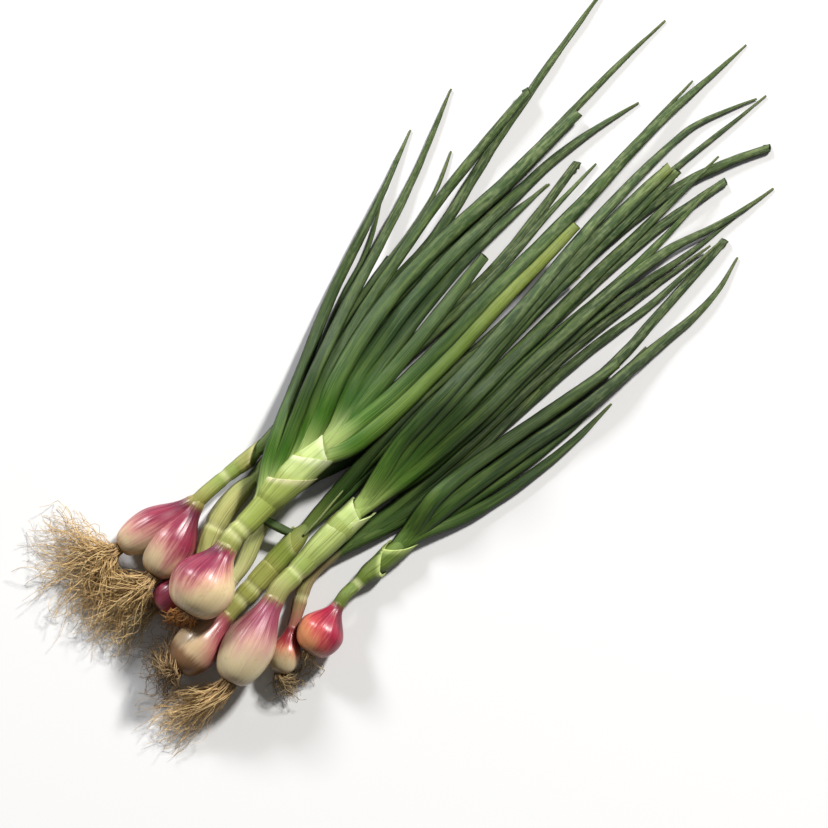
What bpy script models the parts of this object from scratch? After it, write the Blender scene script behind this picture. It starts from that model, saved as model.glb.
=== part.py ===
"""Bunch of red-bulbed spring onions, lying loose on a table.

Eight plants lie side by side, bulbs and roots towards -X and leaf tips towards +X, with +Z up
and the table at z = 0. Each plant is a bulb, a shoot (its neck and its fan of hollow leaves)
and a tuft of roots. The tables below give every size in millimetres: the bulbs and necks are
placed by hand, and each leaf has only its way across the table, seen from above. How high it
runs follows from what it lies on: settle() lays the leaves down one after another, each on
the table and on those laid before it.
"""

import math
import random
from dataclasses import dataclass

import bmesh
import bpy
import numpy as np
from mathutils import Vector

# Driving dimensions, in millimetres
MM = 0.001
ORIGIN = (4.4, 2.5, 0.0)
GAP = 0.3

# Bulbs: where along the axis they are widest, and how wide their root plate is
WIDEST = 0.42
PLATE_SHARE = 0.3
BULB_STATIONS = 8
BULB_SIDES = 12

# Leaves and necks: sides, spacing of the stations, height over width
LEAF_SIDES = 6
LEAF_SPACING = 16.5
LEAF_FLATNESS = 0.74
NECK_SIDES = 8
NECK_FLATNESS = 0.92
NECK_SPACING = 8.0
STRAIGHT_NECK = 4.0
INSIDE_NECK = 11.0
START_STEP = 0.7
START_SHARE = 0.2
TIP_WIDTH = 1.0
BASE_SWELLING = 0.4
LEAN_SHARE = 0.5
LEAN_REACH = 12.0
LEAVING_SLOPE = 2.0
MOST_BACK = 34.0

# Settling: how finely contacts are felt, how stiff and how heavy a leaf is
FEELERS = 8
TOUCH_GAP = 0.5
SETTLE_ROUNDS = 200
LAST_LIFTS = 12
STIFFNESS = 0.5
SAG = 0.3
FUSED_FAN = 22.0
OPEN_FAN = 80.0

# Roots
ROOT_SIDES = 3
ROOT_RADIUS = 0.5
ROOT_STATIONS = 5
ROOT_FLOOR = 0.9
PLATE_THICKNESS = 1.6

SKIN = (0.80, 0.56, 0.50)
RED_SKIN = (0.62, 0.07, 0.13)
LEAF_GREEN = (0.10, 0.23, 0.06)
ROOT_TAN = (0.55, 0.38, 0.17)


@dataclass
class Bulb:
    """A bulb from the middle of its root plate to the start of its neck, with its largest radius."""

    root_end: tuple
    top: tuple
    radius: float
    on_table: bool = True


@dataclass
class Leaf:
    """A leaf's greatest width and its way across the table after the neck, seen from above."""

    width: float
    way: tuple
    cut: bool = False


@dataclass
class Roots:
    """A tuft of roots: how many, how long, the way they lie and how far they spread."""

    count: int
    length: float
    heading: float
    spread: float


@dataclass
class Plant:
    """One plant. The neck's points are x, y, z and radius, after the bulb's top."""

    name: str
    bulbs: tuple
    neck: tuple
    leaves: tuple
    roots: tuple
    neck_gap: float = GAP
    skin: tuple = SKIN


# The plants, in the order in which they lie on each other
PLANTS = (
    Plant(
        "twin",
        (
            Bulb((-152, 7.5, 10.0), (-117.5, 17.3, 10.5), 10.5),
            Bulb((-155, 26.5, 8.0), (-118.0, 19.8, 9.8), 9.0),
        ),
        ((-117, 18.5, 10.3, 3.4), (-105, 18.8, 8.5, 3.3), (-92, 18.2, 6.0, 3.4), (-78, 17, 4.8, 3.6)),
        (
            Leaf(4.6, ((-40, 26), (-10, 35), (22, 43)), cut=True),
            Leaf(5.0, ((-50, 20), (0, 31), (50, 37.5), (80, 46.5), (120, 56.5), (183, 70.5))),
            Leaf(3.4, ((-50, 23), (0, 38), (40, 46), (58, 51.5), (75, 60.5))),
            Leaf(3.2, ((-50, 24), (-10, 42), (20, 54), (39, 67))),
        ),
        (Roots(11, 42, 162, 12), Roots(12, 42, 156, 18)),
        neck_gap=0.8,
    ),
    Plant(
        "lower",
        (Bulb((-160.5, -4, 7.2), (-141, -5.0, 7.2), 7.4),),
        (
            (-141, -5.0, 7.2, 4.2), (-131, -2.0, 6.2, 4.6), (-119, 4.6, 5.8, 5.2),
            (-108, 8.0, 5.6, 5.2), (-98, 9.2, 5.2, 4.4), (-88, 9.4, 4.8, 3.8),
        ),
        (
            Leaf(5.4, ((-50, 18), (0, 22), (50, 22.5), (98, 19.5))),
            Leaf(5.0, ((-50, 17), (0, 26), (60, 31), (110, 35.5), (150, 38.6), (187, 39.8))),
            Leaf(5.0, ((-50, 9), (0, 8), (50, 7.5), (90, 13.5), (114, 18.5)), cut=True),
            Leaf(4.8, ((-50, 5), (0, 4), (50, 5), (90, 9.8), (120, 12.3))),
        ),
        (Roots(7, 30, 182, 9),),
        skin=RED_SKIN,
    ),
    Plant(
        "slim",
        (Bulb((-143, -19.5, 4.7), (-127, -17.5, 4.9), 5.0),),
        (
            (-127, -17.5, 4.9, 3.2), (-115, -14.2, 4.6, 3.8), (-104, -9.2, 4.4, 3.5),
            (-92, -6.2, 4.2, 3.4), (-78, -6, 4.2, 3.4),
        ),
        (
            Leaf(4.4, ((-40, -9), (0, -3), (60, 1.5), (110, 4.5), (150, 8.5), (178, 11))),
            Leaf(4.4, ((-40, -15), (0, -15), (60, -14), (110, -12.5), (150, -13.6), (198, -16.4))),
            Leaf(4.4, ((-40, -14), (10, -14), (72, -12))),
        ),
        (Roots(3, 12, 185, 16),),
    ),
    Plant(
        "brown",
        (Bulb((-172, -31, 11.2), (-140, -27.8, 8.6), 10.5),),
        (
            (-140, -27.8, 8.6, 4.4), (-128, -27, 7.4, 4.8), (-115, -25.6, 6.6, 5.0),
            (-100, -24.0, 5.8, 4.7), (-86, -22.4, 5.2, 4.6),
        ),
        (
            Leaf(5.0, (
                (-50, -19), (0, -19), (50, -18.5), (100, -17.5), (140, -20.5), (160, -25.5), (183, -35),
            ), cut=True),
            Leaf(5.0, ((-50, -23), (0, -27), (50, -28), (100, -27.5), (130, -29), (158, -33)), cut=True),
            Leaf(4.6, ((-50, -18), (0, -14), (45, -18), (80, -21))),
        ),
        (Roots(8, 24, 172, 22),),
    ),
    Plant(
        "small",
        (Bulb((-139.5, -63, 7.0), (-122, -52, 6.0), 7.1),),
        (
            (-122, -52, 6.0, 2.8), (-113, -46.2, 5.0, 3.2), (-104, -41.0, 4.2, 3.2),
            (-92, -38.8, 4.0, 3.3), (-80, -41.2, 4.0, 3.6),
        ),
        (
            Leaf(5.0, ((-45, -50), (0, -56), (35, -60), (64, -60.5), (100, -57), (140, -52.5)), cut=True),
            Leaf(5.0, ((-50, -46), (0, -47.5), (60, -48.5), (100, -52), (137, -51.5))),
            Leaf(5.0, ((-50, -42.5), (0, -43.5), (60, -43), (90, -45.5), (133, -50))),
            Leaf(4.4, ((-45, -48), (-5, -49), (32, -46.5))),
        ),
        (Roots(6, 13, 276, 20),),
    ),
    Plant(
        "red",
        (Bulb((-123.5, -64.8, 10.4), (-99.5, -58, 9.6), 10.5),),
        (
            (-99.5, -58, 9.6, 2.9), (-91, -56.8, 7.0, 3.0), (-81, -56.2, 5.0, 3.4),
            (-69, -57, 4.4, 4.0), (-58, -56.5, 4.2, 4.2),
        ),
        (
            Leaf(5.0, ((-30, -67), (0, -72.3), (30, -74), (52, -73))),
            Leaf(5.0, ((-38, -60), (-10, -65), (30, -68.5), (81, -64.5))),
            Leaf(6.4, ((-38, -57), (0, -61), (40, -66), (80, -67.6), (122, -67.2), (139, -62))),
            Leaf(6.4, ((-38, -51.5), (0, -53.5), (30, -57.5), (66, -61.5)), cut=True),
        ),
        (Roots(4, 10, 234, 14),),
        skin=RED_SKIN,
    ),
    Plant(
        "front",
        (Bulb((-158, -50.8, 15.8), (-119, -37, 16.4), 11.6, on_table=False),),
        (
            (-119, -37, 16.4, 4.8), (-105, -34.8, 14.5, 4.9), (-90, -33.6, 13.0, 5.4),
            (-76, -33.0, 11.6, 6.4), (-64, -32.6, 10.4, 5.8),
        ),
        (
            Leaf(5.0, ((-30, -38.8), (0, -40), (50, -38.5), (90, -41.2), (120, -45.5), (150, -48))),
            Leaf(6.0, ((-30, -34.6), (0, -34.5), (50, -34), (100, -34.5), (150, -31))),
            Leaf(6.0, (
                (-30, -36.6), (0, -37.3), (50, -35.6), (90, -36), (120, -39.5), (145, -46), (172, -49.8),
            )),
            Leaf(5.4, ((-30, -27), (0, -24.6), (50, -19.6), (100, -16.6), (145, -15.2)), cut=True),
            Leaf(6.4, ((-30, -31), (0, -30), (60, -26.5), (100, -24.6), (130, -23.6), (163, -22.5))),
            Leaf(6.6, ((-30, -26), (0, -23.4), (50, -17), (100, -13), (143, -11.4)), cut=True),
            Leaf(5.6, (
                (-30, -23), (0, -20.4), (50, -14.8), (100, -7.5), (140, -4.4), (162, -4.4), (194, -14.5),
            )),
        ),
        (Roots(12, 40, 177, 12),),
    ),
    Plant(
        "big",
        (Bulb((-151, -15.5, 24.4), (-119, -6, 23.8), 14.5, on_table=False),),
        (
            (-119, -6, 23.8, 5.3), (-104, -4.0, 22.4, 5.2), (-88, -2.6, 20.4, 6.0),
            (-73, -1.8, 18.6, 7.4), (-60, -1.8, 17.0, 6.6),
        ),
        (
            Leaf(6.6, ((-25, -4.8), (0, -4.0), (50, -0.6), (100, 2.6), (145, 6.6), (207, 6.8))),
            Leaf(6.0, ((-25, 6.5), (0, 12.0), (40, 18.4), (97, 20))),
            Leaf(6.6, ((-25, 12.5), (0, 18.5), (40, 24), (80, 25.8), (115, 26), (140, 22.5), (153, 20))),
            Leaf(5.0, ((-30, 24), (10, 36), (50, 46), (85, 52), (119, 56.8)), cut=True),
            Leaf(7.2, ((-30, 18), (0, 27), (40, 32), (80, 32.6), (129, 34.8)), cut=True),
            Leaf(5.0, ((-50, 20), (-10, 38), (30, 53), (60, 65.3), (94, 81.3))),
            Leaf(5.2, ((-80, 10), (-50, 26.5), (-10, 47.2), (40, 67.2), (68, 80))),
            Leaf(6.6, ((-25, 2.2), (0, 5.2), (30, 10.4), (54, 14.4)), cut=True),
            Leaf(6.4, ((-48, -9.6), (-30, -11.0), (0, -10.2), (50, -6.2), (93, -3.4)), cut=True),
        ),
        (Roots(7, 26, 177, 8),),
    ),
)


# Routes

def smooth_route(points, count):
    """A smooth curve through the points, as that many stations nearly evenly spaced."""
    knots = np.array(points, float)
    run = np.concatenate([[0], np.cumsum(np.linalg.norm(np.diff(knots[:, :2], axis=0), axis=1))])
    slope = np.gradient(knots, run, axis=0)
    at = np.linspace(0, run[-1], count)
    k = np.clip(np.searchsorted(run, at, side="right") - 1, 0, len(run) - 2)
    h = (run[k + 1] - run[k])[:, None]
    t = (at - run[k])[:, None] / h
    return (
        (2 * t**3 - 3 * t**2 + 1) * knots[k]
        + (t**3 - 2 * t**2 + t) * h * slope[k]
        + (3 * t**2 - 2 * t**3) * knots[k + 1]
        + (t**3 - t**2) * h * slope[k + 1]
    )


def run_of(route):
    """Distance from the start at each station of a route, seen from above."""
    steps = np.linalg.norm(np.diff(route[:, :2], axis=0), axis=1)
    return np.concatenate([[0], np.cumsum(steps)])


def finely(stations):
    """The points on the straight stretches between stations, FEELERS to a stretch."""
    at = np.linspace(0, len(stations) - 1, (len(stations) - 1) * FEELERS + 1)
    return np.column_stack([np.interp(at, np.arange(len(stations)), c) for c in stations.T])


# Settling the leaves on each other

class Pile:
    """What lies on the table so far: points with a half width, a half height and a plant."""

    def __init__(self):
        self.points = np.empty((0, 5))
        self.plants = np.empty(0, int)

    def add(self, tube, plant):
        """Takes in a tube, whose columns are x, y, z, half width and half height."""
        fine = finely(tube)
        self.points = np.vstack([self.points, fine])
        self.plants = np.concatenate([self.plants, np.full(len(fine), plant)])

    def lowest_height(self, fine, plant, apart_by):
        """The least height at which each point of a new tube clears the table and the pile.

        From the leaves of its own plant it keeps only the share apart_by of a full clearance.
        """
        floor = fine[:, 4].copy()
        if not len(self.points):
            return floor
        apart = np.linalg.norm(fine[:, None, :2] - self.points[None, :, :2], axis=2)
        share = np.where((self.plants == plant)[None, :], apart_by[:, None], 1.0)
        reach = share * (fine[:, None, 3] + self.points[None, :, 3] + TOUCH_GAP)
        rise = share * (fine[:, None, 4] + self.points[None, :, 4] + TOUCH_GAP)
        near = apart < reach
        over = np.full(apart.shape, -np.inf)
        over[near] = rise[near] * np.sqrt(1 - (apart[near] / reach[near]) ** 2)
        return np.maximum(floor, (self.points[None, :, 2] + over).max(axis=1))


def settle(tube, plant, pile, held, rounds=SETTLE_ROUNDS):
    """Lets a tube sag and come to rest on the pile, then lifts what still touches.

    Its first stations are held. With no more rounds than the last lifts, it isn't let sag.
    """
    fine = finely(tube)
    run = run_of(fine)
    apart_by = np.clip((run - FUSED_FAN) / (OPEN_FAN - FUSED_FAN), 0, 1)
    floor = pile.lowest_height(fine, plant, apart_by)
    floor[: held * FEELERS - FEELERS // 2] = -np.inf
    share = np.linspace(0, len(tube) - 1, len(fine))
    left = np.minimum(share.astype(int), len(tube) - 2)
    part = share - left
    z = tube[:, 2].copy()
    for turn in range(rounds):
        bend = (np.append(z[1:], 2 * z[-1] - z[-2]) + np.append(z[0], z[:-1])) / 2 - z
        if turn < rounds - LAST_LIFTS:
            z[held:] += STIFFNESS * bend[held:] - SAG
        for i in np.nonzero(np.interp(share, np.arange(len(z)), z) < floor)[0]:
            lack = floor[i] - (1 - part[i]) * z[left[i]] - part[i] * z[left[i] + 1]
            if lack <= 0:
                continue
            near, far = 1 - part[i], part[i]
            if left[i] < held:
                near = 0.0
            pull = near**2 + far**2
            if pull:
                z[left[i]] += lack * near / pull
                z[left[i] + 1] += lack * far / pull
    tube[:, 2] = z


# Solids

def clear_scene():
    """Removes what a new scene starts with."""
    for obj in list(bpy.data.objects):
        bpy.data.objects.remove(obj)


def collection(name):
    made = bpy.data.collections.new(name)
    bpy.context.scene.collection.children.link(made)
    return made


def material(name, colour, roughness):
    made = bpy.data.materials.new(name)
    made.use_nodes = True
    shader = made.node_tree.nodes["Principled BSDF"]
    shader.inputs["Base Color"].default_value = (*colour, 1)
    shader.inputs["Roughness"].default_value = roughness
    return made


def section(name, sides, flatness, guides):
    """A tube's cross-section: a regular polygon pressed flat."""
    curve = bpy.data.curves.new(name, "CURVE")
    curve.dimensions = "2D"
    spline = curve.splines.new("POLY")
    spline.points.add(sides - 1)
    for k, point in enumerate(spline.points):
        turn = 2 * math.pi * k / sides
        point.co = (MM * math.cos(turn), MM * flatness * math.sin(turn), 0, 1)
    spline.use_cyclic_u = True
    guide = bpy.data.objects.new(name, curve)
    guide.hide_render = True
    guides.objects.link(guide)
    return guide


def tube_mesh(name, stations, cross_section, finish):
    """A tube along stations of x, y, z and half width, as a closed mesh object."""
    curve = bpy.data.curves.new(name, "CURVE")
    curve.dimensions = "3D"
    curve.twist_mode = "Z_UP"
    curve.bevel_mode = "OBJECT"
    curve.bevel_object = cross_section
    curve.use_fill_caps = True
    spline = curve.splines.new("POLY")
    spline.points.add(len(stations) - 1)
    for point, (x, y, z, half_width) in zip(spline.points, stations[:, :4]):
        point.co = (x * MM, y * MM, z * MM, 1)
        point.radius = half_width
    return meshed(bpy.data.objects.new(name, curve), name, finish)


def meshed(source, name, finish):
    """A mesh object of what the source shows, its loose ends welded. The source is removed."""
    if not source.users_collection:
        bpy.context.scene.collection.objects.link(source)
    graph = bpy.context.evaluated_depsgraph_get()
    mesh = bpy.data.meshes.new_from_object(source.evaluated_get(graph))
    mesh.transform(source.matrix_world)
    working = bmesh.new()
    working.from_mesh(mesh)
    bmesh.ops.remove_doubles(working, verts=working.verts, dist=0.01 * MM)
    bmesh.ops.recalc_face_normals(working, faces=working.faces)
    working.to_mesh(mesh)
    working.free()
    bpy.data.objects.remove(source)
    made = bpy.data.objects.new(name, mesh)
    mesh.materials.clear()
    mesh.materials.append(finish)
    return made


def outer_body(mesh):
    """Keeps a mesh's largest connected piece, without the sealed pockets left between others."""
    working = bmesh.new()
    working.from_mesh(mesh)
    unseen, largest = set(working.verts), set()
    while unseen:
        group = {unseen.pop()}
        edge_of_group = set(group)
        while edge_of_group:
            reached = {e.other_vert(v) for v in edge_of_group for e in v.link_edges}
            edge_of_group = reached - group
            group |= edge_of_group
        unseen -= group
        largest = max(largest, group, key=len)
    bmesh.ops.delete(working, geom=[v for v in working.verts if v not in largest], context="VERTS")
    working.to_mesh(mesh)
    working.free()


def joined(name, solids, home):
    """One body from solids that run into each other, in the collection home.

    The exact solver leaves open edges where leaves graze each other, and this one doesn't.
    """
    first, others = solids[0], collection(name + "_pieces")
    home.objects.link(first)
    for solid in solids[1:]:
        others.objects.link(solid)
    join = first.modifiers.new("join", "BOOLEAN")
    join.operation = "UNION"
    join.operand_type = "COLLECTION"
    join.solver = "MANIFOLD"
    join.collection = others
    graph = bpy.context.evaluated_depsgraph_get()
    mesh = bpy.data.meshes.new_from_object(first.evaluated_get(graph))
    first.modifiers.clear()
    outer_body(mesh)
    first.data = mesh
    first.name = name
    for solid in list(others.objects):
        bpy.data.objects.remove(solid)
    bpy.data.collections.remove(others)
    first.data.shade_smooth()
    first.data.set_sharp_from_angle(angle=math.radians(50))
    return first


# Bulbs

def bulb_radius(share, bulb, neck_radius):
    """Half width of a bulb at a share of its length: round below, drawn in to the neck above."""
    plate = PLATE_SHARE * bulb.radius
    if share < WIDEST:
        swell = math.sqrt(max(0.0, 1 - ((WIDEST - share) / WIDEST) ** 2))
        return plate + (bulb.radius - plate) * swell
    drawn_in = 0.5 * (1 + math.cos(math.pi * (share - WIDEST) / (1 - WIDEST)))
    return neck_radius + (bulb.radius - neck_radius) * drawn_in


def turned_bulb(name, bulb, neck_radius, finish, home):
    """A bulb turned on its own axis, which runs from its root plate to its top."""
    start, end = Vector(bulb.root_end), Vector(bulb.top)
    length = (end - start).length
    shares = [0.5 - 0.5 * math.cos(math.pi * k / BULB_STATIONS) for k in range(BULB_STATIONS + 1)]
    outline = [(bulb_radius(s, bulb, neck_radius), s * length) for s in reversed(shares)]
    outline = [(0.0, length)] + outline + [(0.0, 0.0)]
    mesh = bpy.data.meshes.new(name)
    steps = [(k, k + 1) for k in range(len(outline) - 1)]
    mesh.from_pydata([(r * MM, 0, h * MM) for r, h in outline], steps, [])
    turned = bpy.data.objects.new(name, mesh)
    screw = turned.modifiers.new("turn", "SCREW")
    screw.steps = screw.render_steps = BULB_SIDES
    screw.use_merge_vertices = True
    screw.merge_threshold = 0.01 * MM
    turned.location = start * MM
    turned.rotation_mode = "QUATERNION"
    turned.rotation_quaternion = (end - start).to_track_quat("Z", "Y")
    mesh.materials.append(finish)
    home.objects.link(turned)
    return turned


def table_cutter(guides):
    """A block whose top is the table, which flattens a bulb where it rests."""
    bpy.ops.mesh.primitive_cube_add(size=1)
    block = bpy.context.object
    block.name = "table"
    block.scale = (0.6, 0.4, 0.05)
    block.location = (0, 0, -0.025)
    block.hide_render = True
    block.display_type = "WIRE"
    for old in list(block.users_collection):
        old.objects.unlink(block)
    guides.objects.link(block)
    return block


def cut_by(solid, other, operation):
    modifier = solid.modifiers.new(operation.lower(), "BOOLEAN")
    modifier.operation = operation
    modifier.object = other


def make_bulb(plant, finish, table, home, guides):
    """A plant's bulb, or its two grown together, flat where it rests on the table."""
    neck_radius = plant.neck[0][3]
    whole = turned_bulb(plant.name + "_bulb", plant.bulbs[0], neck_radius, finish, home)
    for second in plant.bulbs[1:]:
        lobe = turned_bulb(plant.name + "_second_lobe", second, neck_radius, finish, guides)
        lobe.hide_render = True
        lobe.display_type = "WIRE"
        cut_by(whole, lobe, "UNION")
    if plant.bulbs[0].on_table:
        cut_by(whole, table, "DIFFERENCE")


# Necks and leaves

def neck_tube(plant):
    """Stations of the neck: straight out of the bulb's top, then along its points, rounded off."""
    axis = np.mean([np.subtract(b.top, b.root_end) for b in plant.bulbs], axis=0)
    axis /= np.linalg.norm(axis)
    points = np.array(plant.neck, float)
    points[0, :3] += axis * plant.neck_gap
    straight = np.append(points[0, :3] + axis * STRAIGHT_NECK, points[0, 3])
    ways = np.vstack([straight, points[1:]])
    count = round(run_of(ways)[-1] / NECK_SPACING) + 1
    stations = np.vstack([points[0], smooth_route(ways, count)])
    stations[-1, 3] *= 0.45
    return np.column_stack([stations, stations[:, 3] * NECK_FLATNESS])


def along(tube, back):
    """The point of a tube this far back from its end."""
    run = run_of(tube)
    return np.array([np.interp(run[-1] - back, run, column) for column in tube.T])


def leaf_half_width(share, leaf):
    """Half width along a leaf: narrow in the neck, full in the middle, drawn out to the tip."""
    full = leaf.width / 2
    opening = np.sin(np.clip(share / 0.12, 0, 1) * math.pi / 2)
    swelling = BASE_SWELLING * (1 - np.clip((share - 0.12) / 0.5, 0, 1)) ** 1.5
    width = full * (0.75 + 0.25 * opening) * (1 + opening * swelling)
    closing = np.clip((share - 0.5) / 0.5, 0, 1)
    end = 0.7 * full if leaf.cut else TIP_WIDTH / 2
    return end + (width - end) * (1 - closing ** (3.0 if leaf.cut else 1.9))


def leaf_tube(leaf, number, neck, index, pile):
    """Stations of a leaf, from inside its neck to its tip, settled on the pile.

    The further a leaf goes to the side, the earlier it leaves the neck, so none bends sharply.
    """
    ahead = (along(neck, 0) - along(neck, INSIDE_NECK))[:2]
    ahead /= np.linalg.norm(ahead)
    side = np.array([-ahead[1], ahead[0]])
    off = np.array(leaf.way[0]) - along(neck, 0)[:2]
    back = np.clip(LEAVING_SLOPE * abs(off @ side) - off @ ahead, 0, MOST_BACK)
    leaving = along(neck, back)
    inside = along(neck, back + INSIDE_NECK + START_STEP * number)
    lean = np.clip(off @ side / LEAN_REACH, -1, 1)
    inside[:2] += side * lean * leaving[3] * START_SHARE
    leaving[:2] += side * lean * leaving[3] * LEAN_SHARE
    ways = np.vstack([inside[:2], leaving[:2], leaf.way])
    count = round(run_of(ways)[-1] / LEAF_SPACING) + 1
    plan = smooth_route(ways, count)
    share = run_of(plan) / run_of(plan)[-1]
    half_width = leaf_half_width(share, leaf)
    height = np.interp(run_of(plan), [0, INSIDE_NECK], [inside[2], leaving[2]])
    tube = np.column_stack([plan, height, half_width, half_width * LEAF_FLATNESS])
    settle(tube, index, pile, held=2)
    pile.add(tube, index)
    return tube


def make_shoot(plant, index, pile, leaf_section, neck_section, finish, home):
    """A plant's neck and its leaves as one body."""
    neck = neck_tube(plant)
    settle(neck, index, pile, held=2, rounds=LAST_LIFTS)
    pile.add(neck, index)
    solids = [tube_mesh(plant.name + "_neck", neck, neck_section, finish)]
    for k, leaf in enumerate(plant.leaves):
        tube = leaf_tube(leaf, k, neck, index, pile)
        solids.append(tube_mesh(f"{plant.name}_leaf_{k}", tube, leaf_section, finish))
    joined(plant.name + "_shoot", solids, home)


# Roots

def root_stations(start, outward, roots, draw):
    """One root: out of the plate, sinking to the table in loose waves."""
    length = roots.length * draw.uniform(0.6, 1.0)
    turn = math.radians(roots.heading + roots.spread * draw.uniform(-1, 1))
    final = np.array([math.cos(turn), math.sin(turn)])
    phase, swing = draw.uniform(0, 2 * math.pi), draw.uniform(0.6, 1.6)
    rise = draw.uniform(0.0, 0.35) * start[2]
    stations = []
    for k in range(ROOT_STATIONS):
        t = k / (ROOT_STATIONS - 1)
        heading = (1 - t) ** 2 * outward[:2] + (1 - (1 - t) ** 2) * final
        across = np.array([-final[1], final[0]]) * swing * math.sin(phase + 7 * t) * t
        place = start[:2] + heading * length * t + across
        sink = (1 - t) ** 1.6
        z = ROOT_FLOOR + (start[2] - ROOT_FLOOR) * sink + rise * math.sin(math.pi * t) * (1 - t)
        stations.append((*place, max(z, ROOT_FLOOR), ROOT_RADIUS * (1.1 - 0.3 * t)))
    return np.array(stations)


def make_roots(name, bulb, roots, root_section, plate_section, finish, home):
    """The root plate under a bulb and the roots that grow from it, as one body."""
    draw = random.Random(name)
    centre = np.array(bulb.root_end, float)
    outward = centre - np.array(bulb.top, float)
    outward /= np.linalg.norm(outward)
    side = np.array([-outward[1], outward[0], 0.0])
    up = np.cross(outward, side)
    radius = PLATE_SHARE * bulb.radius
    ends = [centre + outward * GAP, centre + outward * (GAP + PLATE_THICKNESS)]
    plate = np.array([(*ends[0], radius * 0.9), (*ends[1], radius * 0.6)])
    solids = [tube_mesh(name + "_plate", plate, plate_section, finish)]
    for k in range(roots.count):
        turn, reach = 2.4 * k, radius * 0.6 * math.sqrt((k + 0.5) / roots.count)
        start = ends[0] + outward * 0.4 + reach * (math.cos(turn) * side + math.sin(turn) * up)
        stations = root_stations(start, outward, roots, draw)
        solids.append(tube_mesh(f"{name}_{k}", stations, root_section, finish))
    joined(name, solids, home)


def main():
    clear_scene()
    home, guides = collection("spring_onion_bunch"), collection("guides")
    leaf_section = section("leaf_section", LEAF_SIDES, LEAF_FLATNESS, guides)
    neck_section = section("neck_section", NECK_SIDES, NECK_FLATNESS, guides)
    root_section = section("root_section", ROOT_SIDES, 1.0, guides)
    plate_section = section("plate_section", BULB_SIDES, 1.0, guides)
    table = table_cutter(guides)
    pile = Pile()
    for index, plant in enumerate(PLANTS):
        skin = material(plant.name + "_skin", plant.skin, 0.3)
        green = material(plant.name + "_green", LEAF_GREEN, 0.5)
        tan = material(plant.name + "_tan", ROOT_TAN, 0.8)
        make_bulb(plant, skin, table, home, guides)
        make_shoot(plant, index, pile, leaf_section, neck_section, green, home)
        for number, (bulb, roots) in enumerate(zip(plant.bulbs, plant.roots)):
            name = f"{plant.name}_roots" + ("_second" if number else "")
            make_roots(name, bulb, roots, root_section, plate_section, tan, home)
    for obj in home.objects:
        obj.location -= Vector(ORIGIN) * MM
    for guide in guides.objects:
        if guide.type == "MESH":
            guide.location -= Vector(ORIGIN) * MM


main()
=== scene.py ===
"""Looks of a loose bunch of red-bulbed spring onions on a pale table.

The lengths in the tables below are in millimetres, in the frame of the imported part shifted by
ORIGIN. Meshes are made in metres.
"""

import random
from dataclasses import dataclass
from functools import partial
from math import cos, exp, pi, radians, sin, sqrt

import bpy
import numpy as np
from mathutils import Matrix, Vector
from mathutils.kdtree import KDTree


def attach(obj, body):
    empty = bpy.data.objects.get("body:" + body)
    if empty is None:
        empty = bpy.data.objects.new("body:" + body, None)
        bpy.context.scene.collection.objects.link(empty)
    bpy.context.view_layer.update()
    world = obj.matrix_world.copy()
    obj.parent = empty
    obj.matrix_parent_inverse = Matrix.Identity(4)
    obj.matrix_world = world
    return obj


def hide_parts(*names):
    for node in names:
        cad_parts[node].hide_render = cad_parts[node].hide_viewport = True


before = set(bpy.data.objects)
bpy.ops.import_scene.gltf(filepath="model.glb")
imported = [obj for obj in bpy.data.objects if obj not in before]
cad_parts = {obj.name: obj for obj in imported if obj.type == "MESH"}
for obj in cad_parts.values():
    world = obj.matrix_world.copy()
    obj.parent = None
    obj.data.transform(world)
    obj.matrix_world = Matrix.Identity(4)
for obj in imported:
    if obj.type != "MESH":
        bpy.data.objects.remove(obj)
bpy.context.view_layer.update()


# The camera looks almost straight down on the table with a long lens, turned so that the bunch
# lies from the lower left to the upper right of the picture.
CAMERA_TURN = radians(-42)
CAMERA_HEIGHT = radians(87.5)
CAMERA_AWAY = 1.35
SENSOR_WIDTH = 36
PICTURE_WIDTH = 0.3705
AIM = Vector((-0.0219, -0.0197, 0.011))


def in_scene(name, data):
    """A new object of some data, in the scene."""
    made = bpy.data.objects.new(name, data)
    bpy.context.scene.collection.objects.link(made)
    return made


camera_data = bpy.data.cameras.new("camera_above")
camera_data.sensor_width = SENSOR_WIDTH
camera_data.lens = SENSOR_WIDTH * CAMERA_AWAY / PICTURE_WIDTH
camera_data.clip_start = 0.01
camera = in_scene("camera_above", camera_data)
bpy.context.scene.camera = camera
looking = Vector((
    -sin(CAMERA_TURN) * cos(CAMERA_HEIGHT),
    cos(CAMERA_TURN) * cos(CAMERA_HEIGHT),
    -sin(CAMERA_HEIGHT),
))
camera.location = AIM - looking * CAMERA_AWAY
camera.rotation_euler = looking.to_track_quat("-Z", "Y").to_euler()


# Studio light: a soft key from the picture's upper right, which shapes the bulbs and darkens the
# gaps, a weaker low light from its upper left, which gives the leaves a faint second shadow, and
# an even pale surround.
WARM_WHITE = (1.0, 0.985, 0.955)
COOL_WHITE = (0.97, 0.98, 1.0)
SURROUND_STRENGTH = 0.14


def softbox(name, place, size, watts, tint):
    """A square area light that faces the middle of the bunch."""
    data = bpy.data.lights.new(name, "AREA")
    data.size = size
    data.energy = watts
    data.color = tint
    light = in_scene(name, data)
    light.location = Vector(place)
    light.rotation_euler = (-Vector(place)).to_track_quat("-Z", "Y").to_euler()


softbox("key_light", (3.95, 0.55, 3.01), 0.60, 410, WARM_WHITE)
softbox("low_light", (0.40, 4.39, 2.35), 1.00, 215, COOL_WHITE)
surround = bpy.data.worlds.new("studio_surround")
surround.use_nodes = True
surround.node_tree.nodes["Background"].inputs["Color"].default_value = (1, 1, 1, 1)
surround.node_tree.nodes["Background"].inputs["Strength"].default_value = SURROUND_STRENGTH
bpy.context.scene.world = surround
bpy.context.scene.view_settings.view_transform = "Standard"


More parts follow.
